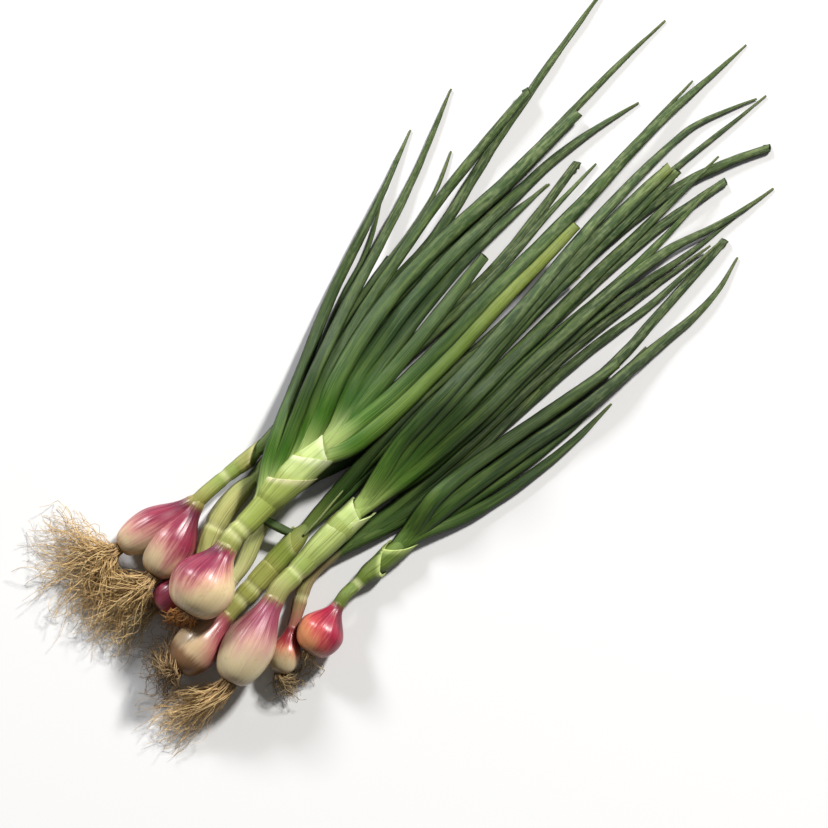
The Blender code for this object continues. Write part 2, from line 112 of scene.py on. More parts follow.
# The table is a plain matt pale board, much larger than the bunch.
TABLE_SIZE = 6
TABLE_LEVEL = -0.0002
NOISE = "ShaderNodeTexNoise"
BUMP = "ShaderNodeBump"
SURFACE = "ShaderNodeBsdfPrincipled"
OUTPUT = "ShaderNodeOutputMaterial"


def linear(code):
    """Linear colour of an sRGB hex code."""
    parts = [int(code[k:k + 2], 16) / 255 for k in (1, 3, 5)]
    return tuple(p / 12.92 if p <= 0.04045 else ((p + 0.055) / 1.055) ** 2.4 for p in parts) + (1.0,)


def node(tree, kind, *inputs, **named):
    """Adds a node with its settings and links, and gives its first output in use.

    A kind is a type of node, or a pair of it and its settings. Inputs without a name go into the
    sockets in use in their order, and names have _ for a space. Each input is a value, a hex code
    or an output to link. The node's other outputs are found by .node.outputs.
    """
    kind, settings = (kind, {}) if isinstance(kind, str) else kind
    made = tree.nodes.new(kind)
    for key, value in settings.items():
        setattr(made, key, value)
    sockets = [socket for socket in made.inputs if socket.enabled]
    by_name = {socket.name.replace(" ", "_"): socket for socket in sockets}
    for socket, value in [*zip(sockets, inputs), *((by_name[key], named[key]) for key in named)]:
        if isinstance(value, bpy.types.NodeSocket):
            tree.links.new(value, socket)
        else:
            socket.default_value = linear(value) if str(value).startswith("#") else value
    return next((socket for socket in made.outputs if socket.enabled), None)


def new_finish(name):
    """A material with an empty tree, and what adds nodes to it."""
    made = bpy.data.materials.new(name)
    made.use_nodes = True
    made.node_tree.nodes.clear()
    return made, partial(node, made.node_tree)


bpy.ops.mesh.primitive_plane_add(size=TABLE_SIZE, location=(0, 0, TABLE_LEVEL))
table = bpy.context.object
table.name = "pale_table"
table_paint, add = new_finish("matt_pale_paint")
dimple = add(BUMP, 0.02, 0.0002, Height=add(NOISE, Scale=900.0, Detail=2.0))
paint = add(SURFACE, Base_Color="#d8d8d8", Roughness=0.7, Normal=dimple)
add(OUTPUT, paint)
table.data.materials.append(table_paint)


# Bulbs: swollen leaf bases wrapped in glossy, paper-thin skins that run from root to neck in
# fine ribs. They are cream where the soil covered them and magenta to dark red above. Each sits
# on its own root plate, and its outermost skin runs a little way up the neck.
MM = 0.001
ORIGIN = np.array((4.4, 2.5, 0.0))
WIDEST = 0.42
PLATE_SHARE = 0.3
SKIN_SIDES = 96
SKIN_RINGS = 72
COLLAR = 4.0
COLLAR_LOOSENESS = 1.02
COLLAR_TAPER = 2.4
GATHER_START = 0.45
GATHER_RUN = 0.5
LOW_RIBS = 0.10
SWELLS = ((2, 0.016), (3, 0.010))
RIBS = (9, 13, 17, 23)
RIB_HEIGHT = 0.016
TEARS = (2, 5, 9, 14)
TEAR_DEPTH = 0.9
LOWEST = 0.05
LOWER_LOBE_TURN = -2.3
TIMES, PLUS, TIMES_PLUS, POWER, COSINE, ANGLE, LARGER = (
    ("ShaderNodeMath", {"operation": word})
    for word in ("MULTIPLY", "ADD", "MULTIPLY_ADD", "POWER", "COSINE", "ARCTAN2", "MAXIMUM")
)
EASED = ("ShaderNodeMapRange", {"interpolation_type": "SMOOTHSTEP"})
MIX = ("ShaderNodeMix", {"data_type": "RGBA"})
SHADED = ("ShaderNodeMix", {"data_type": "RGBA", "blend_type": "MULTIPLY"})
SPLIT = "ShaderNodeSeparateXYZ"
MAPPING = "ShaderNodeMapping"
COORDINATES = "ShaderNodeTexCoord"


@dataclass
class Bulb:
    """A bulb from the middle of its root plate to the start of its neck, and its radius."""

    root_end: tuple
    top: tuple
    radius: float
    on_table: bool = True


@dataclass
class Leaf:
    """A leaf's greatest width, its way across the table, and how its end has faded."""

    width: float
    way: tuple
    cut: bool = False
    faded: str = ""
    faded_run: float = 17.0


@dataclass
class Plant:
    """One plant. The neck's points are x, y, z and radius, after the bulb's top."""

    name: str
    bulbs: tuple
    neck: tuple
    leaves: tuple
    neck_gap: float = 0.3


# The plants, in the order in which they lie on each other
PLANTS = (
    Plant("twin", (
        Bulb((-152, 7.5, 10), (-117.5, 17.3, 10.5), 10.5), Bulb((-155, 26.5, 8), (-118, 19.8, 9.8), 9),
    ), (
        (-117, 18.5, 10.3, 3.4), (-105, 18.8, 8.5, 3.3), (-92, 18.2, 6, 3.4), (-78, 17, 4.8, 3.6),
    ), (
        Leaf(4.6, ((-40, 26), (-10, 35), (22, 43)), cut=True),
        Leaf(5, ((-50, 20), (0, 31), (50, 37.5), (80, 46.5), (120, 56.5), (183, 70.5))),
        Leaf(3.4, ((-50, 23), (0, 38), (40, 46), (58, 51.5), (75, 60.5))),
        Leaf(3.2, ((-50, 24), (-10, 42), (20, 54), (39, 67))),
    ), neck_gap=0.8),
    Plant("lower", (Bulb((-160.5, -4, 7.2), (-141, -5, 7.2), 7.4),), (
        (-141, -5, 7.2, 4.2), (-131, -2, 6.2, 4.6), (-119, 4.6, 5.8, 5.2),
        (-108, 8, 5.6, 5.2), (-98, 9.2, 5.2, 4.4), (-88, 9.4, 4.8, 3.8),
    ), (
        Leaf(5.4, ((-50, 18), (0, 22), (50, 22.5), (98, 19.5))),
        Leaf(5, ((-50, 17), (0, 26), (60, 31), (110, 35.5), (150, 38.6), (187, 39.8))),
        Leaf(5, ((-50, 9), (0, 8), (50, 7.5), (90, 13.5), (114, 18.5)), cut=True),
        Leaf(4.8, ((-50, 5), (0, 4), (50, 5), (90, 9.8), (120, 12.3))),
    )),
    Plant("slim", (Bulb((-143, -19.5, 4.7), (-127, -17.5, 4.9), 5),), (
        (-127, -17.5, 4.9, 3.2), (-115, -14.2, 4.6, 3.8), (-104, -9.2, 4.4, 3.5),
        (-92, -6.2, 4.2, 3.4), (-78, -6, 4.2, 3.4),
    ), (
        Leaf(4.4, ((-40, -9), (0, -3), (60, 1.5), (110, 4.5), (150, 8.5), (178, 11))),
        Leaf(4.4, ((-40, -15), (0, -15), (60, -14), (110, -12.5), (150, -13.6), (198, -16.4))),
        Leaf(4.4, ((-40, -14), (10, -14), (72, -12))),
    )),
    Plant("brown", (Bulb((-172, -31, 11.2), (-140, -27.8, 8.6), 10.5),), (
        (-140, -27.8, 8.6, 4.4), (-128, -27, 7.4, 4.8), (-115, -25.6, 6.6, 5),
        (-100, -24, 5.8, 4.7), (-86, -22.4, 5.2, 4.6),
    ), (
        Leaf(5, (
            (-50, -19), (0, -19), (50, -18.5), (100, -17.5), (140, -20.5), (160, -25.5), (183, -35),
        ), cut=True),
        Leaf(5, ((-50, -23), (0, -27), (50, -28), (100, -27.5), (130, -29), (158, -33)), cut=True),
        Leaf(4.6, ((-50, -18), (0, -14), (45, -18), (80, -21))),
    )),
    Plant("small", (Bulb((-139.5, -63, 7), (-122, -52, 6), 7.1),), (
        (-122, -52, 6, 2.8), (-113, -46.2, 5, 3.2), (-104, -41, 4.2, 3.2),
        (-92, -38.8, 4, 3.3), (-80, -41.2, 4, 3.6),
    ), (
        Leaf(5, ((-45, -50), (0, -56), (35, -60), (64, -60.5), (100, -57), (140, -52.5)), cut=True),
        Leaf(5, ((-50, -46), (0, -47.5), (60, -48.5), (100, -52), (137, -51.5))),
        Leaf(5, ((-50, -42.5), (0, -43.5), (60, -43), (90, -45.5), (133, -50))),
        Leaf(4.4, ((-45, -48), (-5, -49), (32, -46.5))),
    )),
    Plant("red", (Bulb((-123.5, -64.8, 10.4), (-99.5, -58, 9.6), 10.5),), (
        (-99.5, -58, 9.6, 2.9), (-91, -56.8, 7, 3), (-81, -56.2, 5, 3.4),
        (-69, -57, 4.4, 4), (-58, -56.5, 4.2, 4.2),
    ), (
        Leaf(5, ((-30, -67), (0, -72.3), (30, -74), (52, -73))),
        Leaf(5, ((-38, -60), (-10, -65), (30, -68.5), (81, -64.5))),
        Leaf(6.4, ((-38, -57), (0, -61), (40, -66), (80, -67.6), (122, -67.2), (139, -62))),
        Leaf(6.4, ((-38, -51.5), (0, -53.5), (30, -57.5), (66, -61.5)), cut=True),
    )),
    Plant("front", (Bulb((-158, -50.8, 15.8), (-119, -37, 16.4), 11.6, on_table=False),), (
        (-119, -37, 16.4, 4.8), (-105, -34.8, 14.5, 4.9), (-90, -33.6, 13, 5.4),
        (-76, -33, 11.6, 6.4), (-64, -32.6, 10.4, 5.8),
    ), (
        Leaf(5, ((-30, -38.8), (0, -40), (50, -38.5), (90, -41.2), (120, -45.5), (150, -48))),
        Leaf(6, ((-30, -34.6), (0, -34.5), (50, -34), (100, -34.5), (150, -31))),
        Leaf(6, (
            (-30, -36.6), (0, -37.3), (50, -35.6), (90, -36), (120, -39.5), (145, -46), (172, -49.8),
        )),
        Leaf(5.4, ((-30, -27), (0, -24.6), (50, -19.6), (100, -16.6), (145, -15.2)), True, "#6f7d30"),
        Leaf(6.4, ((-30, -31), (0, -30), (60, -26.5), (100, -24.6), (130, -23.6), (163, -22.5))),
        Leaf(6.6, ((-30, -26), (0, -23.4), (50, -17), (100, -13), (143, -11.4)), True, "#808a38"),
        Leaf(5.6, (
            (-30, -23), (0, -20.4), (50, -14.8), (100, -7.5), (140, -4.4), (162, -4.4), (194, -14.5),
        )),
    )),
    Plant("big", (Bulb((-151, -15.5, 24.4), (-119, -6, 23.8), 14.5, on_table=False),), (
        (-119, -6, 23.8, 5.3), (-104, -4, 22.4, 5.2), (-88, -2.6, 20.4, 6),
        (-73, -1.8, 18.6, 7.4), (-60, -1.8, 17, 6.6),
    ), (
        Leaf(6.6, ((-25, -4.8), (0, -4), (50, -0.6), (100, 2.6), (145, 6.6), (207, 6.8))),
        Leaf(6, ((-25, 6.5), (0, 12), (40, 18.4), (97, 20))),
        Leaf(6.6, ((-25, 12.5), (0, 18.5), (40, 24), (80, 25.8), (115, 26), (140, 22.5), (153, 20))),
        Leaf(5, ((-30, 24), (10, 36), (50, 46), (85, 52), (119, 56.8)), cut=True),
        Leaf(7.2, ((-30, 18), (0, 27), (40, 32), (80, 32.6), (129, 34.8)), cut=True),
        Leaf(5, ((-50, 20), (-10, 38), (30, 53), (60, 65.3), (94, 81.3))),
        Leaf(5.2, ((-80, 10), (-50, 26.5), (-10, 47.2), (40, 67.2), (68, 80))),
        Leaf(6.6, ((-25, 2.2), (0, 5.2), (30, 10.4), (54, 14.4)), cut=True),
        Leaf(6.4, ((-48, -9.6), (-30, -11), (0, -10.2), (50, -6.2), (93, -3.4)), True, "#7f8b3a", 84),
    )),
)


@dataclass
class Skin:
    """How a bulb's skin is coloured: where red takes over from cream, and on which side first.

    The side is an angle round the bulb: 0 is up and a quarter turn is +Y.
    """

    cream: str
    blush: str
    red: str
    deep: str
    collar: str
    starts: float
    ends: float
    side: float
    lean: float
    stain: str = "#8a6440"
    soiled: float = 0.1


SKINS = {
    "twin": Skin("#c8b28c", "#b67e76", "#882a42", "#5e1a32", "#8c8848", 0.35, 0.66, 1.1, 0.16),
    "lower": Skin("#b47a70", "#a65260", "#943a4e", "#702a3c", "#b0a070", 0.05, 0.40, 0.0, 0.05),
    "slim": Skin("#cbc4a0", "#bfb090", "#b09280", "#a67e6a", "#b4ae7c", 0.90, 1.30, 0.0, 0.05),
    "brown": Skin(
        "#b39a78", "#ae7c6c", "#984c54", "#723238", "#8e8a4c", 0.58, 0.92, -1.5, 0.34, "#6b4a2f", 0.30,
    ),
    "small": Skin("#bcaa84", "#b87258", "#982c34", "#681826", "#9a5c54", 0.52, 0.76, -0.4, 0.08),
    "red": Skin("#cc8a5c", "#b8504c", "#98203a", "#641028", "#5c6a2c", 0.20, 0.52, -1.9, 0.26),
    "front": Skin("#c9b992", "#bc9084", "#92465a", "#6c283e", "#96905c", 0.50, 0.84, 0.5, 0.12),
    "big": Skin("#d2bd92", "#bd8478", "#882c46", "#5c1c34", "#8f9150", 0.61, 0.93, 1.0, 0.42),
}


def bulb_radius(share, bulb, neck_radius):
    """Half width of a bulb at a share of its length: round below, drawn in to the neck above."""
    plate = PLATE_SHARE * bulb.radius
    if share < WIDEST:
        swell = sqrt(max(0.0, 1 - ((WIDEST - share) / WIDEST) ** 2))
        return plate + (bulb.radius - plate) * swell
    if share > 1:
        return neck_radius * (COLLAR_LOOSENESS - COLLAR_TAPER * (share - 1))
    drawn_in = 0.5 * (1 + cos(pi * (share - WIDEST) / (1 - WIDEST)))
    return neck_radius + (bulb.radius - neck_radius) * drawn_in


def ribbing(turn, waves):
    """A sum of a few waves round the bulb, each a count, a height and a start."""
    return sum(height * cos(count * turn + start) for count, height, start in waves)


def keep(mesh, name, kind, values):
    """Keeps a value for each point of a mesh under a name."""
    kept = mesh.attributes.get(name) or mesh.attributes.new(name, kind, "POINT")
    field = {"FLOAT": "value", "FLOAT_VECTOR": "vector", "FLOAT_COLOR": "color"}[kind]
    kept.data.foreach_set(field, np.array(values, np.float32).ravel())


def skin_mesh(name, bulb, neck_radius, draw, facing):
    """The skin of one bulb with its collar, as rings round its axis, closed at both ends.

    Its colours are turned by the facing angle. The upper edge of the collar is torn, and the
    ribs grow stronger where the skin is gathered into the neck.
    """
    start, end = Vector(bulb.root_end), Vector(bulb.top)
    length = (end - start).length
    axis = (end - start).normalized()
    up = Vector((0, 0, 1))
    across = (up - axis * axis.dot(up)).normalized()
    around = axis.cross(across)
    broad = [(count, height, draw.uniform(0, 6)) for count, height in SWELLS]
    ribs = [(count, RIB_HEIGHT / sqrt(count / RIBS[0]), draw.uniform(0, 6)) for count in RIBS]
    torn = [(count, TEAR_DEPTH / sqrt(count), draw.uniform(0, 6)) for count in TEARS]
    points, places = [], []
    top_share = 1 + COLLAR / length
    for ring in range(SKIN_RINGS + 1):
        k = ring / SKIN_RINGS
        share = top_share * (0.5 - 0.5 * cos(pi * k)) if k < 0.5 else top_share * k
        for side in range(SKIN_SIDES):
            turn = 2 * pi * side / SKIN_SIDES
            here = share
            if share > 1:
                here = 1 + (share - 1) * (0.75 + 0.25 * ribbing(turn, torn))
            gather = min(1.0, max(0.0, (here - GATHER_START) / GATHER_RUN)) ** 1.3
            ribbed = ribbing(turn, ribs) * (LOW_RIBS + gather) * (here < 1)
            swell = 1 + ribbing(turn, broad) * (1 - gather) + ribbed
            swell *= bulb_radius(here, bulb, neck_radius)
            outward = across * cos(turn) + around * sin(turn)
            place = start + axis * (here * length) + outward * swell
            if bulb.on_table and place.z < LOWEST:
                place.z = LOWEST + 0.1 * (max(place.z, 0.0) - LOWEST)
            points.append((np.array(place) - ORIGIN) * MM)
            places.append((cos(turn + facing), -sin(turn + facing), here))
    faces = []
    for ring in range(SKIN_RINGS):
        for side in range(SKIN_SIDES):
            a, b = ring * SKIN_SIDES + side, ring * SKIN_SIDES + (side + 1) % SKIN_SIDES
            faces.append((a, b, b + SKIN_SIDES, a + SKIN_SIDES))
    faces.append(tuple(reversed(range(SKIN_SIDES))))
    faces.append(tuple(range(SKIN_RINGS * SKIN_SIDES, (SKIN_RINGS + 1) * SKIN_SIDES)))
    mesh = bpy.data.meshes.new(name)
    mesh.from_pydata(points, [], faces)
    keep(mesh, "skin", "FLOAT_VECTOR", places)
    mesh.shade_smooth()
    return mesh


# Onion skin is a dry, slightly translucent film over wet flesh: a clear gloss with fine veins
# from root to neck, which show as streaks of colour and as low ribs.
def onion_skin(name, look):
    finish, add = new_finish(name + "_onion_skin")
    place = add(("ShaderNodeAttribute", {"attribute_name": "skin"})).node.outputs["Vector"]
    up, left, share = add(SPLIT, place).node.outputs
    drift = add(NOISE, add(MAPPING, place, Scale=(1.7, 1.7, 1.5)), 1.6, 3.0)
    streaks = add(NOISE, add(MAPPING, place, Scale=(7.0, 7.0, 0.9)), 2.0, 4.0)
    wobble = add(TIMES_PLUS, drift, 9.0, add(TIMES, add(ANGLE, left, up), 44.0))
    veins = add(POWER, add(TIMES_PLUS, add(COSINE, wobble), 0.5, 0.5), 3.0)

    # Cream below, then a blush, red and deep red, further down on one side and ragged
    toward = add(TIMES, up, cos(look.side) * look.lean)
    toward = add(TIMES_PLUS, left, sin(look.side) * look.lean, toward)
    ragged = add(TIMES_PLUS, drift, 0.45, add(TIMES_PLUS, streaks, 0.20, -0.325))
    reach = add(PLUS, add(PLUS, share, toward), ragged)
    blushing = add(EASED, reach, look.starts - 0.22, look.starts + 0.12)
    colour = add(MIX, blushing, look.cream, look.blush)
    reddening = add(EASED, reach, look.starts, look.ends)
    colour = add(MIX, reddening, colour, look.red)
    deep_streaks = add(EASED, streaks, 0.42, 0.70, 0.0, 0.7)
    deep = add(LARGER, deep_streaks, add(EASED, reach, look.ends + 0.05, look.ends + 0.35))
    colour = add(MIX, add(TIMES, deep, reddening), colour, look.deep)

    # Fine veins and pale streaks, the dull collar, and the soil's stain and specks
    fine = add(TIMES, veins, add(TIMES_PLUS, reddening, 0.16, 0.05))
    colour = add(MIX, fine, colour, add(SHADED, 0.75, colour, "#7c3440"))
    pale = add(TIMES, add(EASED, streaks, 0.42, 0.28), add(TIMES_PLUS, reddening, -0.14, 0.18))
    colour = add(MIX, pale, colour, "#d8c8a8")
    fading = add(PLUS, share, add(TIMES_PLUS, streaks, 0.36, -0.18))
    colour = add(MIX, add(EASED, fading, 0.93, 1.07), colour, look.collar)
    low = add(PLUS, share, add(TIMES_PLUS, streaks, -0.16, 0.06))
    soil = add(TIMES, add(EASED, low, look.soiled, look.soiled - 0.14), 0.9)
    colour = add(MIX, soil, colour, look.stain)
    specks = add(NOISE, add(COORDINATES).node.outputs["Object"], 330.0, 4.0)
    colour = add(MIX, add(EASED, specks, 0.58, 0.76, 0.0, 0.22), colour, "#7a5a3c")
    low_rib = add(BUMP, 0.28, 0.0003, Height=add(TIMES_PLUS, veins, 0.35, streaks))
    add(OUTPUT, add(
        SURFACE, Base_Color=colour, Roughness=add(TIMES_PLUS, specks, 0.20, 0.24), IOR=1.45,
        Normal=low_rib, Subsurface_Weight=0.12, Subsurface_Radius=(0.004, 0.002, 0.001),
        Subsurface_Scale=0.6, Coat_Weight=0.12, Coat_Roughness=0.22,
    ))
    return finish


def placed(name, mesh, finish, nodes):
    """The object of a finished mesh, standing in for nodes of the part."""
    piece = in_scene(name, mesh)
    mesh.materials.clear()
    mesh.materials.append(finish)
    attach(piece, "root")
    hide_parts(*nodes)


def plain_mesh(piece):
    """The mesh that an object's modifier makes. The object goes, with its modifier."""
    mesh = bpy.data.meshes.new_from_object(piece.evaluated_get(bpy.context.evaluated_depsgraph_get()))
    piece.modifiers.clear()
    bpy.data.objects.remove(piece)
    return mesh


def grown_together(first, second):
    """The mesh of two lobes as one closed skin, with each point's place on its own lobe."""
    known, shares = KDTree(len(first.vertices) + len(second.vertices)), []
    for mesh in (first, second):
        for point, share in zip(mesh.vertices, mesh.attributes["skin"].data):
            known.insert(point.co, len(shares))
            shares.append(share.vector[:])
    known.balance()
    whole, lobe = (in_scene(mesh.name, mesh) for mesh in (first, second))
    union = whole.modifiers.new("grown_together", "BOOLEAN")
    union.operation = "UNION"
    union.object = lobe
    mesh = plain_mesh(whole)
    bpy.data.objects.remove(lobe)
    places = [shares[known.find(point.co)[1]] for point in mesh.vertices]
    keep(mesh, "skin", "FLOAT_VECTOR", places)
    mesh.shade_smooth()
    return mesh


for plant in PLANTS:
    draw = random.Random(plant.name + " skin")
    lobes = [
        skin_mesh(plant.name, bulb, plant.neck[0][3], draw, facing)
        for bulb, facing in zip(plant.bulbs, (LOWER_LOBE_TURN * (len(plant.bulbs) > 1), 0.0))
    ]
    mesh = lobes[0] if len(lobes) == 1 else grown_together(*lobes)
    finish = onion_skin(plant.name, SKINS[plant.name])
    placed(plant.name + "_skins", mesh, finish, [plant.name + "_bulb"])


# Necks and leaves: each neck is a roll of nested leaf sheaths, pale where it was earthed up, and
# each leaf is a hollow tube that slips out of the sheath round it. The leaves lie on the table
# and on each other, and some are cut or dried at the tip.
LEAF_SPACING = 16.5
LEAF_FLATNESS = 0.74
NECK_FLATNESS = 0.92
NECK_SPACING = 8.0
NECK_END = 0.45
STRAIGHT_NECK = 4.0
INSIDE_NECK = 11.0
START_STEP = 0.7
START_SHARE = 0.2
TIP_WIDTH = 1.0
CUT_SHARE = 0.7
OPENING = 0.12
BASE_WIDTH = 0.75
BASE_SWELLING = 0.4
LEAN_SHARE = 0.5
LEAN_REACH = 12.0
LEAVING_SLOPE = 2.0
MOST_BACK = 34.0
FEELERS = 8
TOUCH_GAP = 0.5
HELD = 2
SETTLE_ROUNDS = 200
LAST_LIFTS = 12
STIFFNESS = 0.5
SAG = 0.3
FUSED_FAN = 22.0
OPEN_FAN = 80.0


def smooth_route(points, count):
    """A smooth curve through the points, as that many stations nearly evenly spaced."""
    knots = np.array(points, float)
    run = run_of(knots)
    slope = np.gradient(knots, run, axis=0)
    at = np.linspace(0, run[-1], count)
    k = np.clip(np.searchsorted(run, at, side="right") - 1, 0, len(run) - 2)
    h = (run[k + 1] - run[k])[:, None]
    t = (at - run[k])[:, None] / h
    return (
        (2 * t**3 - 3 * t**2 + 1) * knots[k]
        + (t**3 - 2 * t**2 + t) * h * slope[k]
        + (3 * t**2 - 2 * t**3) * knots[k + 1]
        + (t**3 - t**2) * h * slope[k + 1]
    )


def run_of(route):
    """Distance from the start at each station of a route, seen from above."""
    steps = np.linalg.norm(np.diff(route[:, :2], axis=0), axis=1)
    return np.concatenate([[0], np.cumsum(steps)])


def finely(stations):
    """The points on the straight stretches between stations, FEELERS to a stretch."""
    at = np.linspace(0, len(stations) - 1, (len(stations) - 1) * FEELERS + 1)
    return np.column_stack([np.interp(at, np.arange(len(stations)), c) for c in stations.T])


def lowest_height(fine, plant, apart_by, pile):
    """The least height at which each point of a new tube clears the table and the pile.

    From the leaves of its own plant it keeps only the share apart_by of a full clearance.
    """
    apart = np.linalg.norm(fine[:, None, :2] - pile[None, :, :2], axis=2)
    share = np.where(pile[None, :, 5] == plant, apart_by[:, None], 1.0)
    reach = share * (fine[:, None, 3] + pile[None, :, 3] + TOUCH_GAP)
    rise = share * (fine[:, None, 4] + pile[None, :, 4] + TOUCH_GAP)
    near = apart < reach
    over = np.full(apart.shape, -np.inf)
    over[near] = rise[near] * np.sqrt(1 - (apart[near] / reach[near]) ** 2)
    return np.maximum(fine[:, 4], (pile[None, :, 2] + over).max(axis=1, initial=-np.inf))


def settle(tube, plant, pile, rounds):
    """Lets a tube sag and come to rest on the pile, lifts what still touches, and adds it.

    Its first stations are held. With no more rounds than the last lifts, it isn't let sag. The
    pile's columns are x, y, z, half width, half height and plant, and a tube has the first five.
    """
    fine = finely(tube)
    run = run_of(fine)
    apart_by = np.clip((run - FUSED_FAN) / (OPEN_FAN - FUSED_FAN), 0, 1)
    floor = lowest_height(fine, plant, apart_by, pile)
    floor[: HELD * FEELERS - FEELERS // 2] = -np.inf
    share = np.linspace(0, len(tube) - 1, len(fine))
    left = np.minimum(share.astype(int), len(tube) - 2)
    part = share - left
    z = tube[:, 2].copy()
    for turn in range(rounds):
        bend = (np.append(z[1:], 2 * z[-1] - z[-2]) + np.append(z[0], z[:-1])) / 2 - z
        if turn < rounds - LAST_LIFTS:
            z[HELD:] += STIFFNESS * bend[HELD:] - SAG
        for i in np.nonzero(np.interp(share, np.arange(len(z)), z) < floor)[0]:
            lack = floor[i] - (1 - part[i]) * z[left[i]] - part[i] * z[left[i] + 1]
            if lack <= 0:
                continue
            near, far = 1 - part[i], part[i]
            if left[i] < HELD:
                near = 0.0
            pull = near**2 + far**2
            if pull:
                z[left[i]] += lack * near / pull
                z[left[i] + 1] += lack * far / pull
    tube[:, 2] = z
    fine = finely(tube)
    return np.vstack([pile, np.column_stack([fine, np.full(len(fine), plant)])])


def neck_tube(plant):
    """Stations of the neck: straight out of the bulb's top, then along its points, rounded off."""
    axis = np.mean([np.subtract(b.top, b.root_end) for b in plant.bulbs], axis=0)
    axis /= np.linalg.norm(axis)
    points = np.array(plant.neck, float)
    points[0, :3] += axis * plant.neck_gap
    straight = np.append(points[0, :3] + axis * STRAIGHT_NECK, points[0, 3])
    ways = np.vstack([straight, points[1:]])
    count = round(run_of(ways)[-1] / NECK_SPACING) + 1
    stations = np.vstack([points[0], smooth_route(ways, count)])
    stations[-1, 3] *= NECK_END
    return np.column_stack([stations, stations[:, 3] * NECK_FLATNESS])


def along(tube, back):
    """The point of a tube this far back from its end."""
    run = run_of(tube)
    return np.array([np.interp(run[-1] - back, run, column) for column in tube.T])


def leaf_half_width(share, leaf):
    """Half width along a leaf: narrow in the neck, full in the middle, drawn out to the tip."""
    full = leaf.width / 2
    opening = np.sin(np.clip(share / OPENING, 0, 1) * pi / 2)
    swelling = BASE_SWELLING * (1 - np.clip((share - OPENING) / 0.5, 0, 1)) ** 1.5
    width = full * (BASE_WIDTH + (1 - BASE_WIDTH) * opening) * (1 + opening * swelling)
    closing = np.clip((share - 0.5) / 0.5, 0, 1)
    end = CUT_SHARE * full if leaf.cut else TIP_WIDTH / 2
    return end + (width - end) * (1 - closing ** (3.0 if leaf.cut else 1.9))


def leaf_tube(leaf, number, neck):
    """Stations of a leaf, from inside its neck to its tip, before it is let sag.

    The further a leaf goes to the side, the earlier it leaves the neck, so none bends sharply.
    """
    ahead = (along(neck, 0) - along(neck, INSIDE_NECK))[:2]
    ahead /= np.linalg.norm(ahead)
    side = np.array([-ahead[1], ahead[0]])
    off = np.array(leaf.way[0]) - along(neck, 0)[:2]
    back = np.clip(LEAVING_SLOPE * abs(off @ side) - off @ ahead, 0, MOST_BACK)
    leaving = along(neck, back)
    inside = along(neck, back + INSIDE_NECK + START_STEP * number)
    lean = np.clip(off @ side / LEAN_REACH, -1, 1)
    inside[:2] += side * lean * leaving[3] * START_SHARE
    leaving[:2] += side * lean * leaving[3] * LEAN_SHARE
    ways = np.vstack([inside[:2], leaving[:2], leaf.way])
    count = round(run_of(ways)[-1] / LEAF_SPACING) + 1
    plan = smooth_route(ways, count)
    share = run_of(plan) / run_of(plan)[-1]
    half_width = leaf_half_width(share, leaf)
    height = np.interp(run_of(plan), [0, INSIDE_NECK], [inside[2], leaving[2]])
    return np.column_stack([plan, height, half_width, half_width * LEAF_FLATNESS])


@dataclass
class Sheath:
    """A leaf sheath round the end of a neck, with a slanting pale mouth.

    It starts and ends that far before the end of the neck, and has that half width at its
    mouth, which leans forward on the +Y side and on top by these lengths.
    """

    start: float
    end: float
    half_width: float
    side: float
    top: float
    colour: str
    rim: str


@dataclass
class Shade:
    """Colours of a shoot along the neck, where the leaves part and of the leaves.

    Creases are places along the neck where it was bent and pressed in, and is paler. The fresh
    green is that of the leaves just after their pale starts; its darker default is painted shade
    for the plants that lie under the others.
    """

    neck: str
    fan: str
    greens: tuple
    creases: tuple = ()
    sheaths: tuple = ()
    # The darker default fresh green is painted shade on the leaves of the plants that lie under big and
    # front
    fresh: str = "#2f4a1b"
    pale: float = 14.0


SHADES = {
    "twin": Shade(
        "#7f8d44", "#6c8440", ("#314422", "#2d411e", "#2a3d1f", "#32481f"), (17.0, 26.0),
        (Sheath(16, 4, 4.1, 5.0, -3.0, "#8a8a4c", "#b9b37c"),),
    ),
    "lower": Shade(
        "#a8a468", "#6f8040", ("#283c20", "#2b3f1f", "#24351d", "#2f4124"), (26.0,),
    ),
    "slim": Shade("#a09f68", "#697a44", ("#263722", "#2d3f24", "#243420")),
    "brown": Shade(
        "#9c9c52", "#66783a", ("#2a3d1f", "#304324", "#273820"), (9.0, 17.0, 31.0),
        (Sheath(26, 9, 5.0, 3.5, -2.4, "#82903f", "#aeb670"),),
    ),
    "small": Shade("#8f7e58", "#42582a", ("#22341c", "#273a1e", "#20301b", "#283820"), (14.0,)),
    "red": Shade(
        "#5c6f28", "#476026", ("#293e20", "#2d431f", "#25371d", "#304223"), (12.0,),
        (
            Sheath(27, 12, 5.2, 6.0, -4.0, "#667636", "#b6c47c"),
            Sheath(19, 3, 5.5, -6.0, -4.0, "#617534", "#aebd74"),
        ),
    ),
    "front": Shade(
        "#8f9c52", "#94a85c",
        ("#283f1d", "#2e4a1c", "#2b3f20", "#344a23", "#2e4421", "#394d29", "#2f4325"), (15.0,),
        (
            Sheath(34, 5, 6.3, -8.0, -5.0, "#9dab64", "#bfcb90"),
            Sheath(13, 1, 6.0, 2.5, -2.0, "#a8b870", "#c0cc90"),
        ),
        "#3f621e", 20.0,
    ),
    "big": Shade(
        "#909a4a", "#a8b870",
        ("#2e471d", "#2c4223", "#31472a", "#2d441e", "#354b26", "#283e1d", "#263d19", "#394f28", "#536a2a"),
        (6.0, 10.5, 30.0),
        (
            Sheath(34, 17, 8.6, -7.5, -3.0, "#98a456", "#cdc79c"),
            Sheath(24, 4, 7.8, -6.5, -2.0, "#a6b570", "#d3dab0"),
            Sheath(12, -4, 6.2, 3.8, -2.6, "#aebd7a", "#ccd6a8"),
        ),
        "#41641d",
    ),
}
DRY_TIP = "#525a30"
